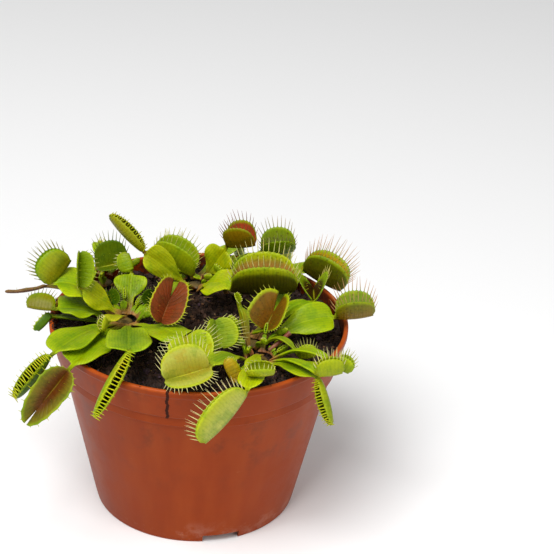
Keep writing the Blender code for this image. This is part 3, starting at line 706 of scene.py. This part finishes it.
def leaf_finish():
    """Leaf skin: the tint carries the greens and reds, and veins, dark specks and fine cells
    are laid over it. Veins run along the blade, and across the lobes from hinge to margin."""
    material, tree, shader = new_material("leaf", 0.42, subsurface=0.08, coat=0.02, specular=0.16)
    shader.inputs["Subsurface Radius"].default_value = (0.9, 1.0, 0.1)
    shader.inputs["Subsurface Scale"].default_value = 0.0012
    place = node(tree, "TexCoord").outputs["Object"]
    tint = node(tree, "Attribute", attribute_name="tint").outputs["Color"]
    skin = node(tree, "Attribute", attribute_name="skin")
    parts = node(tree, "SeparateColor", {0: skin.outputs["Color"]})
    on_lobe, specks, ribs = parts.outputs[0], parts.outputs[1], parts.outputs[2]
    grain = node(tree, "SeparateXYZ", {0: node(tree, "UVMap", uv_map="grain").outputs[0]})
    along, across = grain.outputs[0], grain.outputs[1]
    vein_on_blade = combined(tree, "MULTIPLY", across, 900.0)
    vein_on_lobe = combined(tree, "MULTIPLY", along, 1000.0)
    sway = node(tree, "TexNoise", {"Vector": place, "Scale": 160.0, "Detail": 1.0}).outputs[0]
    phase = node(tree, "Mix", {0: on_lobe, 2: vein_on_blade, 3: vein_on_lobe}).outputs[0]
    phase = combined(tree, "ADD", phase, sway)
    vein = node(tree, "Math", {0: combined(tree, "MULTIPLY", phase, 2 * math.pi)},
                operation="SINE").outputs[0]
    vein = ramped(tree, vein, 0.2, 1.0)
    tone = uneven(tree, tint, 150.0, 0.2)
    clouds = node(tree, "TexNoise", {"Vector": place, "Scale": 150.0, "Detail": 7.0,
                                     "Roughness": 0.65}).outputs[0]
    skin_colour = blended(tree, 1.0, tone.outputs["Colour"], np.array([0.84, 0.8, 0.5]),
                          "MULTIPLY")
    shade = blended(tree, 1.0, skin_colour, np.array([0.42, 0.6, 0.4]), "MULTIPLY")
    colour = blended(tree, ramped(tree, clouds, 0.47, 0.62, 0.0, 0.6), skin_colour, shade)
    stain = combined(tree, "MULTIPLY", ramped(tree, clouds, 0.43, 0.32), 0.5)
    warm = blended(tree, 1.0, colour, np.array([1.2, 0.85, 0.4]), "MULTIPLY")
    colour = blended(tree, stain, colour, warm)
    deep = blended(tree, 1.0, colour, np.array([0.66, 0.7, 0.5]), "MULTIPLY")
    colour = blended(tree, combined(tree, "MULTIPLY", vein, ribs), colour, deep)
    cells = node(tree, "TexVoronoi", {"Vector": place, "Scale": 620.0}).outputs["Distance"]
    dots = combined(tree, "MULTIPLY", ramped(tree, cells, 0.32, 0.2), specks)
    colour = blended(tree, dots, colour, paint("#3E2A08"))
    tree.links.new(colour, shader.inputs["Base Color"])
    tree.links.new(ramped(tree, tone.outputs["Height"], 0.35, 0.65, 0.34, 0.52),
                   shader.inputs["Roughness"])
    relief = combined(tree, "SUBTRACT", tone.outputs["Height"],
                      combined(tree, "MULTIPLY", vein, combined(tree, "MULTIPLY", ribs, 0.6)))
    relief = combined(tree, "ADD", relief, combined(tree, "MULTIPLY", clouds, 0.8))
    bump = node(tree, "Bump", {"Strength": 0.6, "Distance": 0.0005, "Height": relief})
    tree.links.new(bump.outputs[0], shader.inputs["Normal"])
    return material


leaf_skin = leaf_finish()
ALONG_PETIOLE = 60
ACROSS = np.linspace(-1.0, 1.0, 29)


def grow_leaf(name, given, nodes=None):
    """Builds one leaf: the sheet of petiole and trap, its two skins with their colours, the
    combs on both margins and the three trigger hairs in each lobe."""
    leaf = {**USUAL, **given}
    number = leaf["teeth"][0]
    v = ACROSS
    t = np.abs(v)
    u = np.linspace(-0.045, 1.0, ALONG_PETIOLE)
    blade_sheet, width = petiole_sheet(leaf, u, v)
    w = np.linspace(0.0, 1.0, 4 * number + 1)
    step = np.arange(4 * number + 1)
    closed = leaf["fold"][1] >= 125
    shift = np.where(v < 0, 2, 0) if closed else np.zeros(len(v))
    crest = 0.5 - 0.5 * np.cos(2 * math.pi * (step[:, None] + shift[None, :]) / 4)
    lobe_sheet = trap_sheet(leaf, w, v, crest)
    sheet = np.concatenate([blade_sheet, lobe_sheet])

    # Thickness: thinner to the edges, with a rib under the blade and a ridge along the hinge.
    half = LEAF_THICKNESS / 2 * (1.15 - 0.55 * t ** 2)
    blade_rib = 0.55 * np.exp(-(t[None] * width[:, None] / 0.9) ** 2)
    lobe_rib = 0.45 * np.exp(-(t[None] * leaf["lobe"] / 0.9) ** 2) * np.ones((len(w), 1))
    above = np.broadcast_to(half, sheet.shape[:2])
    points, faces, normal = thick_sheet(sheet, above, above + np.concatenate([blade_rib, lobe_rib]))

    # Blade: pale at the base, light along the edges and the midrib, darker in cloudy patches.
    inner, outer = (paint(code) for code in leaf["green"])
    uu, tt = u[:, None], t[None, :]
    cloud = 0.5 + 0.5 * np.sin(uu * 7 + 2.2 * v[None] + leaf["blade"]) * np.cos(uu * 4 - 3 * v[None])
    blade_tint = between(inner, outer, smooth(0.15 + 0.75 * tt ** 1.6 + 0.3 * (cloud - 0.5)))
    blade_tint = between(blade_tint, outer * 1.15, 0.6 * smooth((tt - 0.86) / 0.1) * np.ones_like(uu))
    rib_mask = 0.5 * np.exp(-(tt * width[:, None] / 0.55) ** 2)
    blade_tint = between(blade_tint, outer * 1.05, rib_mask)
    foot = smooth(1 - uu / leaf.get("blush_and_shade", 0.2)) * np.ones_like(tt)
    blade_tint = between(blade_tint, paint(leaf["foot"]), foot)
    collar = smooth((uu - 0.93) / 0.07) * np.ones_like(tt)
    blade_tint = between(blade_tint, paint(leaf["collar"]), 0.8 * collar)
    # Lobes: outer skin with its flush, inner skin with a seam on the hinge, and the margin.
    ww = w[:, None]
    edge = paint(leaf["edge"])
    rim = leaf.get("rim", 0.86)
    band = smooth((tt - rim) / (0.65 * (1 - rim))) * np.ones_like(ww)
    middle = np.sin(math.pi * ww)
    out_tint = np.broadcast_to(paint(leaf["out"]), (*lobe_sheet.shape[:2], 3))
    if leaf["flush"]:
        patch = leaf["flush"][1] * smooth(middle * 1.6) * smooth(1.25 - tt * 1.25)
        out_tint = between(out_tint, paint(leaf["flush"][0]), patch)
    out_tint = between(out_tint, edge, 0.8 * band)
    in_tint = np.broadcast_to(paint(leaf["into"]), (*lobe_sheet.shape[:2], 3))
    in_tint = between(in_tint, paint(leaf["seam"]), 0.8 * np.exp(-(tt / 0.05) ** 2) * middle)
    zone, strength = leaf["zone"]
    in_tint = between(in_tint, edge if zone is None else paint(zone),
                      strength * smooth((tt - 0.3) / 0.6) * np.ones_like(ww))
    in_tint = between(in_tint, edge, band)
    # The lower skin of the blade takes the blade's colour times 0.92: painted shade on the underside.
    tints = np.concatenate([np.concatenate([blade_tint, in_tint]).reshape(-1, 3),
                            np.concatenate([blade_tint * 0.92, out_tint]).reshape(-1, 3)])

    on_lobe = np.repeat([0.0, 1.0], [len(u), len(w)])[:, None] * np.ones_like(tt)
    blade_dots = leaf.get("blade_specks", 0.0)
    dots = np.where(on_lobe > 0.5, leaf["specks"], blade_dots)
    ribs = np.where(on_lobe > 0.5, leaf.get("ribs", 0.3) * (1 - 0.8 * tt ** 6), 0.35)
    skin = np.stack([on_lobe, dots, ribs], axis=-1).reshape(-1, 3)
    length = trap_frame(leaf)[0]
    stalk_length = np.linalg.norm(blade_sheet[-1, 14] - blade_sheet[0, 14])
    far = np.concatenate([u * stalk_length, w * length])[:, None] * np.ones_like(tt)
    wide = np.concatenate([v[None] * width[:, None], v[None] * leaf["lobe"] * np.ones((len(w), 1))])
    grain = np.stack([far, wide], axis=-1).reshape(-1, 2) * 0.001

    parts = [points]
    face_sets = list(faces)
    tint_sets = [tints]
    skin_sets = [skin, skin]
    grain_sets = [grain, grain]
    start = len(points)
    comb = paint(leaf["comb"])
    plus = 4 * np.arange(number) + 2
    minus = 4 * np.arange(1, number) if closed else plus
    hair_rows = np.round(np.array([0.36, 0.5, 0.64]) * 4 * number).astype(int)
    growths = []
    for sign, rows in ((1.0, plus), (-1.0, minus)):
        growths.append((comb_teeth(leaf, lobe_sheet, rows, sign, len(name) + int(sign)), comb))
        column = 14 + int(sign) * 7
        lean = normal[len(u) + hair_rows, column]
        growths.append((strands(lobe_sheet[hair_rows, column], lean, lean * 0.0,
                                np.full(3, 1.6), np.full(3, 0.1), stations=3, sides=4),
                        paint(leaf["seam"])))
    for (tubes, tube_faces), colour in growths:
        count, each = tubes.shape[:2]
        parts.append(tubes.reshape(-1, 3))
        face_sets += [face + start for face in tube_faces]
        start += count * each
        sides = 5 if each > 20 else 4
        stations = (each - 2) // sides
        s = np.concatenate([np.repeat(np.linspace(0, 1, stations), sides), [0.0, 1.0]])
        tint_sets.append(np.tile(between(edge, colour, smooth(s * 3.0)), (count, 1)))
        skin_sets.append(np.zeros((count * each, 3)))
        grain_sets.append(np.zeros((count * each, 2)))
    mesh = new_mesh(name, np.concatenate(parts), face_sets)
    tint_points(mesh, np.concatenate(tint_sets))
    tint_points(mesh, np.concatenate(skin_sets), "skin")
    layer = mesh.uv_layers.new(name="grain")
    corner = np.zeros(len(mesh.loops), np.int32)
    mesh.loops.foreach_get("vertex_index", corner)
    layer.data.foreach_set("uv", np.concatenate(grain_sets)[corner].astype(np.float32).ravel())
    new_piece(name, mesh, leaf_skin, [name] if nodes is None else nodes)


# The closed pods rim_upper, front_left, back_rim_c and front_right are given near-black inner skins
# (into): painted shade inside the shut pocket.
POD = dict(fold=(20, 130), taper=1.0, teeth=(13, 4.2, 38), fan=0.15, curl=0.0, tooth=0.34)
WEST = {
    "west_high": dict(ring=(165, 0), neck=(-60, 0, 93), arch=6, reach=(8, 5, 9), mouth=(-0.8, 0, 0.6),
                      blade=8, lobe=11, fold=(50, 108), face=(0.1, -0.3, 0.95), shoulder=0.1,
                      green=("#8FB001", "#B4C803"), out="#90A006", flush=("#86740E", 0.55),
                      edge="#7FA305", comb="#8A8427", teeth=(15, 5.2, -25), collar="#8A6A48"),
    "west_tongue": dict(ring=(140, 0), neck=(-63, 15, 85), arch=3, reach=(-15, -2, -2),
                        mouth=(0, 0.3, 1), blade=1.1, lobe=1.0, fold=(5, 50), stem=0.3,
                        green=("#7A5A34", "#8A7A24"), collar="#7A5A38", out="#6E4A3C", into="#7E5A46",
                        edge="#8A6A4A", teeth=(3, 0.25, -10), comb="#8A6A4A", foot="#6A4238",
                        blush_and_shade=0.9),
    "west_low": dict(ring=(190, 0), neck=(-58, -7, 86), arch=2, reach=(-10, 2, 0), mouth=(0, 1, 0.3),
                     blade=9, lobe=7, fold=(40, 100), face=(0, -0.05, 1), shoulder=0.2,
                     green=("#6E9202", "#A3BC07"), out="#839201", flush=("#74611A", 0.6), edge="#8FA80B",
                     comb="#8F8A27", teeth=(12, 3.4, -20)),
    "west_spur": dict(ring=(217, 0), neck=(-59, -5, 82), arch=0, reach=(-5, -3, -5),
                      mouth=(-0.7, 0.3, 0.6), blade=2, lobe=3, fold=(40, 115),
                      green=("#5E7F07", "#7C9A0C"), out="#4F7408", teeth=(7, 1.5, 0)),
    "west_back": dict(ring=(180, 1), neck=(-48, -4, 95), arch=0, reach=(0, 5, 12),
                      mouth=(0.6, -0.8, 0.3), blade=6, lobe=7, fold=(60, 50), face=(0, -0.5, 0.8),
                      shoulder=0.2, green=("#A2B004", "#B9C408"), out="#8FA204", into="#6F8C05",
                      edge="#93AC0A", comb="#A8A860", teeth=(12, 2.4, 0), collar="#7C6020"),
    "centre_fork": dict(ring=(80, 0), neck=(-28, 21, 90), arch=0, reach=(-2, 3, 6),
                        mouth=(-0.9, 0.5, 0.1), blade=7, lobe=6, fold=(40, 110), shoulder=0.25,
                        stem=0.35, stalk=2, green=("#7E9C01", "#A5BE09"), foot="#9A7040", blush_and_shade=0.5,
                        blade_specks=0.35, out="#8FA80A", teeth=(9, 2.4, -8)),
    "west_cross": dict(ring=(314, 0), neck=(-5, -30, 87), arch=1, reach=(5, -10, -6),
                       mouth=(-0.1, -0.6, 0.8), blade=8, lobe=10, fold=(35, 25), keel=12,
                       green=("#95AE07", "#A8C00F"), out="#9DB513", into="#A3B814", edge="#B5C921",
                       comb="#E6E4C4", teeth=(14, 4.4, -4)),
    # rim_upper's near-black inner skin is painted shade inside the shut pod.
    "rim_upper": dict(POD, ring=(237, 0), neck=(-56, -43, 85), arch=2.5, reach=(-12, -3, -16),
                      mouth=(-0.2, -0.7, 0.7), blade=8, lobe=8, taper=0.9, green=("#7FA003", "#A6BE09"),
                      out="#4F7007", into="#33480A", edge="#A3B40A", comb="#C3C81B", teeth=(14, 5.0, 38)),
    "rim_lower": dict(ring=(262, 0), neck=(-49, -49, 82), arch=2, reach=(-9, -7, -10),
                      mouth=(0.1, -0.7, 0.7), blade=9, lobe=8, fold=(45, 30), shoulder=0.1,
                      sweep=(0.5, 10), taper=0.9, green=("#8FAE03", "#A9C207"), out="#7E9A05",
                      into="#5E340C", flush=("#5A3A0A", 0.6), edge="#94AA05", seam="#A09407",
                      comb="#B9BE24", teeth=(9, 1.8, -12), zone=("#7C7A12", 0.75), rim=0.9),
    # front_left's near-black inner skin is painted shade inside the shut pod.
    "front_left": dict(POD, ring=(288, 0), neck=(-26, -49, 91), arch=1.5, reach=(-12, -11, -21),
                       mouth=(0.2, -0.9, 0.4), blade=9, lobe=7, shoulder=1.2,
                       green=("#6E940C", "#A4BE0D"), out="#93A808", into="#1E1E06", edge="#B4C20C",
                       comb="#C6CC15", teeth=(13, 4.0, 38), blade_specks=0.1),
    "inner_yellow": dict(ring=(255, 1), neck=(-36, -19, 87), arch=1, reach=(-1, -5, -1),
                         mouth=(-0.5, -0.2, 0.8), blade=3.5, lobe=4, fold=(30, 110),
                         green=("#B4BB15", "#BDC21B"), out="#A3AE15", teeth=(8, 2.0, -8)),
    "inner_back": dict(ring=(115, 0), neck=(-35, 9, 80), arch=1, reach=(-2, 3, 4),
                       mouth=(0.1, -0.4, 0.9), blade=1.2, lobe=5, fold=(40, 75), shoulder=0,
                       out="#3F6407", into="#466C09", edge="#6E8C13", comb="#B9BF92", teeth=(12, 3.0, 0)),
    "inner_right": dict(ring=(40, 0), neck=(-21, 9, 81), arch=1, reach=(2, 2, 4), mouth=(0.1, -0.4, 0.9),
                        blade=1.2, lobe=5, fold=(40, 75), shoulder=0, out="#375806", into="#3F6208",
                        edge="#6A8815", comb="#B9BF92", teeth=(12, 3.2, 0)),
}
for name, leaf in WEST.items():
    grow_leaf(f"leaf_{name}", dict(leaf, crown="west"))

# ------------------------------------------------------------------ the north crown's leaves
# The large open traps at the back: the striped dome, the red heart, and the tall red-lined
# trap that stands up behind them. Their necks are flushed with red.
NORTH = {
    "north_pod": dict(POD, ring=(230, 0), neck=(-24, 19, 100), arch=1, reach=(-13, 5, 12),
                      mouth=(0.6, -0.3, 0.7), blade=6, lobe=6, face=(0.2, -0.9, 0.5),
                      green=("#B3C015", "#C0CC1B"), out="#8C8E0B", into="#4A3A10", edge="#9CA812",
                      comb="#B9BE22", collar="#9A5030", teeth=(13, 3.4, 38)),
    "north_dome": dict(ring=(330, 1), neck=(-4, 34, 82), arch=0, reach=(-16, 5, 7), mouth=(-0.1, 0.1, 1),
                       blade=2, lobe=13, fold=(50, 85), out="#A2B412", into="#7A9611", edge="#98B010",
                       comb="#CFCB84", teeth=(15, 4.2, -10), collar="#8A3C28"),
    "red_heart": dict(ring=(250, 0), neck=(-12, -8, 92), arch=4, reach=(-3, -8, -6),
                      mouth=(0.1, -0.8, 0.6), blade=4, lobe=9, fold=(45, 35), sweep=(9, 1),
                      into="#7C3618", seam="#A2683C", edge="#BCC41A", out="#8FA012", comb="#CDD06A",
                      teeth=(15, 1.9, -6), ribs=0.5, green=("#8CA806", "#A9C00C"), zone=("#8C4A26", 0.5),
                      rim=0.93, tooth=0.16),
    "north_upright": dict(ring=(45, 0), neck=(11, 36, 95), arch=0, reach=(11, -4, 3),
                          mouth=(-0.6, 0.2, 0.8), blade=7, lobe=11, fold=(50, 85), face=(0, -0.7, 0.7),
                          shoulder=0.2, green=("#A2AC02", "#BCC806"), out="#927406", into="#A8442A",
                          edge="#8F9A0A", comb="#8A4A34", teeth=(13, 4.6, -8), foot="#8F6040", blush_and_shade=0.4,
                          seam="#C07048", zone=("#A8442A", 0.7)),
    "north_east": dict(ring=(10, 0), neck=(26, 44, 88), arch=2, reach=(13, 0, 2), mouth=(0, -0.1, 1),
                       blade=3, lobe=11, fold=(45, 70), out="#86A008", into="#5E6E02", edge="#8FA80B",
                       comb="#A89070", teeth=(14, 5.0, -12), specks=0.5),
    "dome": dict(ring=(290, 0), neck=(13, 5, 90), arch=3, reach=(25, 0, 1), mouth=(0, 0, 1), blade=9,
                 lobe=17, fold=(45, 85), face=(0, -0.6, 0.8), shoulder=0.2, green=("#B0C40A", "#BECC0D"),
                 out="#4E4C04", into="#B07E48", edge="#AFC00C", comb="#E6DEB0", teeth=(19, 6.0, -16),
                 specks=0.35, ribs=0.6, seam="#C8A25A", rim=0.74, zone=("#A08A30", 0.4)),
    "back_rim_a": dict(ring=(100, 0), neck=(-12, 63, 83), arch=3, reach=(-1, 4, -10), mouth=(0, 1, 0.2),
                       blade=5, lobe=7, fold=(40, 80), teeth=(12, 3.8, -10)),
    # back_rim_c's near-black inner skin is painted shade inside the shut pod.
    "back_rim_c": dict(POD, ring=(75, 0), neck=(16, 62, 83), arch=2, reach=(1, 4, -11),
                       mouth=(0, 1, 0.2), blade=4, lobe=6, out="#7C940B", into="#3A400A"),
}
for name, leaf in NORTH.items():
    grow_leaf(f"leaf_{name}", dict(leaf, crown="north"))

# ------------------------------------------------------------------ the middle crown's leaves
# Traps on the right: a tall one with a golden lining, a dead one gone dark, a wide green one
# at the rim, and the small bronze heart and the pale green pair beside the crown.
MIDDLE = {
    "east_dome": dict(ring=(75, 0), neck=(42, 27, 90), arch=0, reach=(16, -5, -7), mouth=(0.4, 0.1, 0.9),
                      blade=3, lobe=13, fold=(45, 85), out="#586001", into="#B39408", edge="#97B00B",
                      comb="#CE9A78", teeth=(19, 7.6, -14), specks=0.45, zone=("#B39A10", 0.4),
                      flush=("#5E4A08", 0.5)),
    "charred": dict(ring=(40, 0), neck=(46, 3, 87), arch=4, reach=(0, 9, 1), mouth=(-0.1, -0.2, 1),
                    blade=4, lobe=12, fold=(50, 70), shoulder=0.2, out="#86A604", into="#3E2606",
                    edge="#94B20C", comb="#C9C07A", teeth=(12, 3.8, -10), flush=("#4A2C08", 0.5),
                    rim=0.5, zone=("#3E2606", 0.6)),
    "far_east": dict(ring=(5, 0), neck=(55, -6, 85), arch=3, reach=(14, 0, 2), mouth=(0.1, 0.1, 1),
                     blade=7, lobe=11, fold=(40, 70), face=(0, -0.6, 0.8), out="#7C7C04", into="#7A8A04",
                     edge="#93A809", comb="#C9987E", teeth=(15, 6.2, -6), green=("#86A400", "#A3BC05"),
                     flush=("#8A6410", 0.65), specks=0.45),
    "bronze_heart": dict(ring=(90, 1), neck=(26, -14, 83), arch=0, reach=(3, 4, 5),
                         mouth=(-0.3, -0.7, 0.6), blade=1.2, lobe=11, fold=(45, 50), shoulder=0,
                         sweep=(0.5, 9), out="#8A9A08", into="#7C5208", edge="#A9BA0F", seam="#8E940E",
                         comb="#C9CC60", teeth=(15, 2.8, 0), specks=0.4, zone=("#8A6A10", 0.5)),
    "middle_green": dict(ring=(225, 0), neck=(8, -28, 82), arch=2, reach=(-2, 5, 9),
                         mouth=(0.4, -0.8, 0.5), blade=1.8, lobe=9, fold=(50, 38), shoulder=0,
                         out="#96AC34", into="#8CA42C", edge="#A9BF1B", comb="#D9D9A8",
                         teeth=(15, 4.2, -6)),
    "right_curl": dict(ring=(315, 0), neck=(39, -32, 81), arch=6, reach=(6, 0, 1), mouth=(0, 0.3, 1),
                       blade=1.5, lobe=5, fold=(40, 90), shoulder=0.2, out="#8A9A05",
                       green=("#7A9009", "#93A812"), comb="#9A9A6A", teeth=(10, 3.2, -6)),
}
for name, leaf in MIDDLE.items():
    grow_leaf(f"leaf_{name}", dict(leaf, crown="middle"))

# ------------------------------------------------------------------ the south crown's leaves
# The front of the plant: the two pale traps with long white teeth, one of them hanging over
# the rim, and a cluster of small traps over the right of the rim.
SOUTH = {
    "narrow_upright": dict(ring=(140, 0), neck=(15, -21, 99), arch=0, reach=(-1, 1, 2),
                           mouth=(0, -0.7, 0.7), blade=2.5, lobe=3, fold=(60, 80), keel=50, flat=0,
                           green=("#AEAA1B", "#8FA40C"), foot="#B87A58", blush_and_shade=0.9, teeth=(7, 1.4, -5),
                           blade_specks=0.2),
    "front_big": dict(ring=(205, 0), neck=(4, -49, 85), arch=3, reach=(-16, -5, -3),
                      mouth=(-0.1, -0.6, 0.8), blade=5, lobe=12, fold=(50, 38), out="#A6B813",
                      into="#A7A43A", edge="#B6C523", comb="#E4DFC0", teeth=(17, 5.4, -4),
                      green=("#7F9A13", "#A9BF1C"), ribs=0.2, zone=("#BCC464", 0.9),
                      flush=("#B09C5C", 0.5)),
    "yellow_closed": dict(ring=(235, 0), neck=(14, -51, 80), arch=1, reach=(-4, 1, 8),
                          mouth=(0.6, 0.5, 0.4), blade=2, lobe=5, fold=(30, 110), shoulder=0.1,
                          out="#B3A00A", into="#B06A20", edge="#A3B412", teeth=(8, 1.3, 10),
                          flush=("#B8801C", 0.4)),
    "front_hanging": dict(ring=(275, 0), neck=(18, -64, 83), arch=3, reach=(-15, -9, -16),
                          mouth=(-0.8, 0.1, 0.6), blade=5, lobe=9, fold=(60, 100), taper=0.8,
                          out="#A2AA30", into="#98A52A", edge="#B4C618", comb="#E6DCC0",
                          teeth=(18, 5.4, -14), tooth=0.15, green=("#A3B805", "#B8C809"), ribs=0.25,
                          flush=("#A8AE6C", 0.8)),
    "front_small": dict(ring=(262, 1), neck=(19, -55, 86), arch=2, reach=(9, -2, 2),
                        mouth=(0.2, -0.3, 0.9), blade=3, lobe=6, fold=(20, 110), out="#AAB40C",
                        into="#8FA012", edge="#B3C219", comb="#DDDCA6", teeth=(10, 2.6, 10),
                        green=("#9FB00C", "#B4C412")),
    # front_right's near-black inner skin is painted shade inside the shut pod.
    "front_right": dict(POD, ring=(300, 0), neck=(46, -50, 82), arch=2, reach=(5, -8, -14),
                        mouth=(-0.6, -0.8, 0.3), blade=6, lobe=6, out="#93A006", into="#2E2E08",
                        edge="#A6B40C", comb="#B4BA19", teeth=(12, 3.4, 38),
                        green=("#6C9001", "#A9BC05"), blade_specks=0.15),
    "right_globe": dict(ring=(330, 0), neck=(45, -54, 86), arch=3, reach=(9, 1, 1), mouth=(0, 0.2, 1),
                        blade=2, lobe=7, fold=(40, 110), out="#98A808", into="#8A9A07", edge="#A9B80C",
                        comb="#D9D2B0", teeth=(11, 4.0, -25)),
    "right_small": dict(ring=(357, 0), neck=(52, -46, 86), arch=5, reach=(5, -2, -2),
                        mouth=(0.8, -0.2, 0.5), blade=2, lobe=6, fold=(40, 110), out="#9FAE05",
                        comb="#C9C48A", teeth=(10, 3.4, -20)),
}
for name, leaf in SOUTH.items():
    grow_leaf(f"leaf_{name}", dict(leaf, crown="south"))

# ------------------------------------------------------------------ the back crowns' leaves
# Two smaller crowns at the back of the pot: a broad trap by the left rim, and short leaves
# that hang over the rim behind.
BACK = {
    "back_left": dict(crown="back_left", ring=(200, 0), neck=(-43, 34, 84), arch=1, reach=(12, 3, 2),
                      mouth=(0, -0.5, 0.8), blade=2, lobe=11, fold=(45, 55), shoulder=0.2, out="#6E8A05",
                      into="#627804", edge="#5E7A03", comb="#8A9024", teeth=(14, 5.2, -6),
                      collar="#A04A34"),
    "back_rim_b": dict(crown="back", ring=(50, 0), neck=(33, 55, 84), arch=3, reach=(2, 4, -10),
                       mouth=(0.3, 1, 0.2), blade=5, lobe=7, fold=(40, 80), into="#8C5A2C",
                       teeth=(12, 3.8, -10)),
    "back_rim_d": dict(crown="back", ring=(5, 0), neck=(52, 39, 84), arch=3, reach=(2, 5, -9),
                       mouth=(0.5, 0.8, 0.3), blade=5, lobe=6, fold=(40, 80), teeth=(11, 3.4, -10)),
    "back_rim_e": dict(crown="back_left", ring=(130, 1), neck=(-41, 53, 85), arch=4, reach=(-2, 4, -10),
                       mouth=(-0.3, 1, 0.2), blade=5, lobe=6, fold=(30, 110), teeth=(11, 2.8, -5)),
}
for name, leaf in BACK.items():
    grow_leaf(f"leaf_{name}", leaf)

# ------------------------------------------------------------------ the young leaves
# Short narrow leaves with unripe traps crowd each crown between the big ones. They stay low,
# their traps are still shut, and their bases are a brownish pink.
YOUNG = {"west": (0, 22, 62, 97, 338), "north": (150, 182, 205, 310, 352),
         "middle": (118, 150, 180, 262, 290, 342), "south": (18, 45, 80, 172),
         "back_left": (20, 70, 265, 320), "back": (95, 150, 215, 275, 325)}
for crown, headings in YOUNG.items():
    for i, heading in enumerate(headings):
        turn = math.radians(heading)
        way = np.array([math.cos(turn), math.sin(turn), 0.0])
        place = np.array([*CROWNS[crown], 0.0]) + way * (9.5 + 2.5 * math.sin(5 * i + heading))
        rise = 81.5 + 2.2 * math.sin(3 * i + 2 * heading)
        tilt = np.array([-way[1], way[0], 0.0]) * 0.4 * math.sin(7 * i + heading)
        grow_leaf(f"young_{crown}_{i + 1}", dict(
            crown=crown, ring=(heading, 0), neck=tuple(place + [0.0, 0.0, rise]), arch=1.0,
            reach=tuple(way * 3.0 + [0.0, 0.0, 1.6]), mouth=tuple(tilt + [0.0, 0.0, 1.0]),
            blade=1.3 + 0.5 * math.sin(heading), lobe=1.9, fold=(35, 112), shoulder=0.1,
            green=("#6A8E08", "#8FAE10"), out="#86A010", foot="#A06A50", blush_and_shade=0.45,
            teeth=(6, 0.9, 0), tooth=0.1), nodes=[])

# ------------------------------------------------------------------ the cut flower stalk
# A flower stalk snipped off short between the leaves: reddish, slightly bent, with a dry,
# paler cut end.
STALK_MIDDLE = np.array([32.5, -22.0, 83.0])
STALK_AXIS = unit(np.array([math.sin(math.radians(52)) * math.cos(math.radians(20)),
                            math.sin(math.radians(52)) * math.sin(math.radians(20)),
                            math.cos(math.radians(52))]))
s = np.linspace(0.0, 1.0, 15)
radius = np.concatenate([[0.0, 0.75], 0.75 + 0.2 * s, [0.92, 0.5, 0.0]])
height = np.concatenate([[-6.8, -6.8], -6.7 + 10.8 * s, [4.25, 4.05, 4.0]])
points, faces = turned(np.stack([radius, height], axis=1)[::-1], 20)
across = unit(np.cross([0.0, 0.0, 1.0], STALK_AXIS))
third = np.cross(STALK_AXIS, across)
cut_end = smooth((points[:, 2] - 3.9) / 0.3)[:, None]
low_end = smooth((-points[:, 2]) / 6.0)[:, None]
sag = 0.35 * (points[:, 2] / 6.7) ** 2
stalk_tint = paint("#7A3826") * (1 - low_end) + paint("#94603E") * low_end
stalk_tint = stalk_tint * (1 - cut_end) + paint("#7A5A3C") * cut_end
points = (STALK_MIDDLE + points[:, :1] * across + points[:, 1:2] * third
          + points[:, 2:] * STALK_AXIS + np.array([0.0, 0.0, 1.0]) * sag[:, None])
stalk_mesh = new_mesh("cut_stalk", points, faces)
tint_points(stalk_mesh, stalk_tint)
new_piece("cut_stalk", stalk_mesh, flesh_finish("stalk", 0.5), ["cut_stalk"])

# ------------------------------------------------------------------ floor, light and camera
# A plain pale studio floor, one large soft lamp above the front left, a weaker one on the
# right, and an even white surround.
floor_mesh = bpy.data.meshes.new("floor")
floor_mesh.from_pydata([(-4, -4, 0), (4, -4, 0), (4, 4, 0), (-4, 4, 0)], [], [(0, 1, 2, 3)])
floor = bpy.data.objects.new("floor", floor_mesh)
bpy.context.scene.collection.objects.link(floor)
paper, paper_tree, paper_shader = new_material("paper", 0.8, specular=0.2)
paper_shader.inputs["Base Color"].default_value = (0.9, 0.9, 0.9, 1.0)
floor_mesh.materials.append(paper)


def soft_lamp(name, place, size, power):
    """A square area lamp at the place, facing the plant."""
    light = bpy.data.lights.new(name, "AREA")
    light.size = size
    light.energy = power
    lamp = bpy.data.objects.new(name, light)
    bpy.context.scene.collection.objects.link(lamp)
    back = unit(np.array(place) - np.array([0.0, 0.0, 0.08]))
    right = unit(np.cross([0.0, 0.0, 1.0], back))
    up = np.cross(back, right)
    pose = np.eye(4)
    pose[:3, 0], pose[:3, 1], pose[:3, 2], pose[:3, 3] = right, up, back, place
    lamp.matrix_world = Matrix(pose.tolist())


soft_lamp("key", (-0.35, -0.55, 1.2), 0.8, 20.0)
soft_lamp("fill", (0.8, -0.9, 0.5), 0.9, 5.0)
world = bpy.data.worlds.new("studio")
world.use_nodes = True
world.node_tree.nodes["Background"].inputs["Color"].default_value = (1.0, 1.0, 1.0, 1.0)
world.node_tree.nodes["Background"].inputs["Strength"].default_value = 0.36
bpy.context.scene.world = world
bpy.context.scene.view_settings.view_transform = "Standard"

# The camera looks down at the pot from the front, turned and tilted a little.
CAMERA_PLACE = (0.0, -0.64835, 0.42688)
CAMERA_HEADING = -2.6827
CAMERA_PITCH = 26.7799
CAMERA_ROLL = 2.7413
lens = bpy.data.cameras.new("camera")
lens.lens = 118.85
lens.sensor_width = 36.0
lens.clip_start = 0.02
lens.clip_end = 20.0
camera = bpy.data.objects.new("camera", lens)
bpy.context.scene.collection.objects.link(camera)
heading = math.radians(CAMERA_HEADING)
pitch = math.radians(CAMERA_PITCH)
roll = math.radians(CAMERA_ROLL)
back = np.array([math.sin(heading) * math.cos(pitch), -math.cos(heading) * math.cos(pitch),
                 math.sin(pitch)])
level = np.array([math.cos(heading), math.sin(heading), 0.0])
upright = np.cross(back, level)
pose = np.eye(4)
pose[:3, 0] = level * math.cos(roll) + upright * math.sin(roll)
pose[:3, 1] = upright * math.cos(roll) - level * math.sin(roll)
pose[:3, 2] = back
pose[:3, 3] = CAMERA_PLACE
camera.matrix_world = Matrix(pose.tolist())
bpy.context.scene.camera = camera
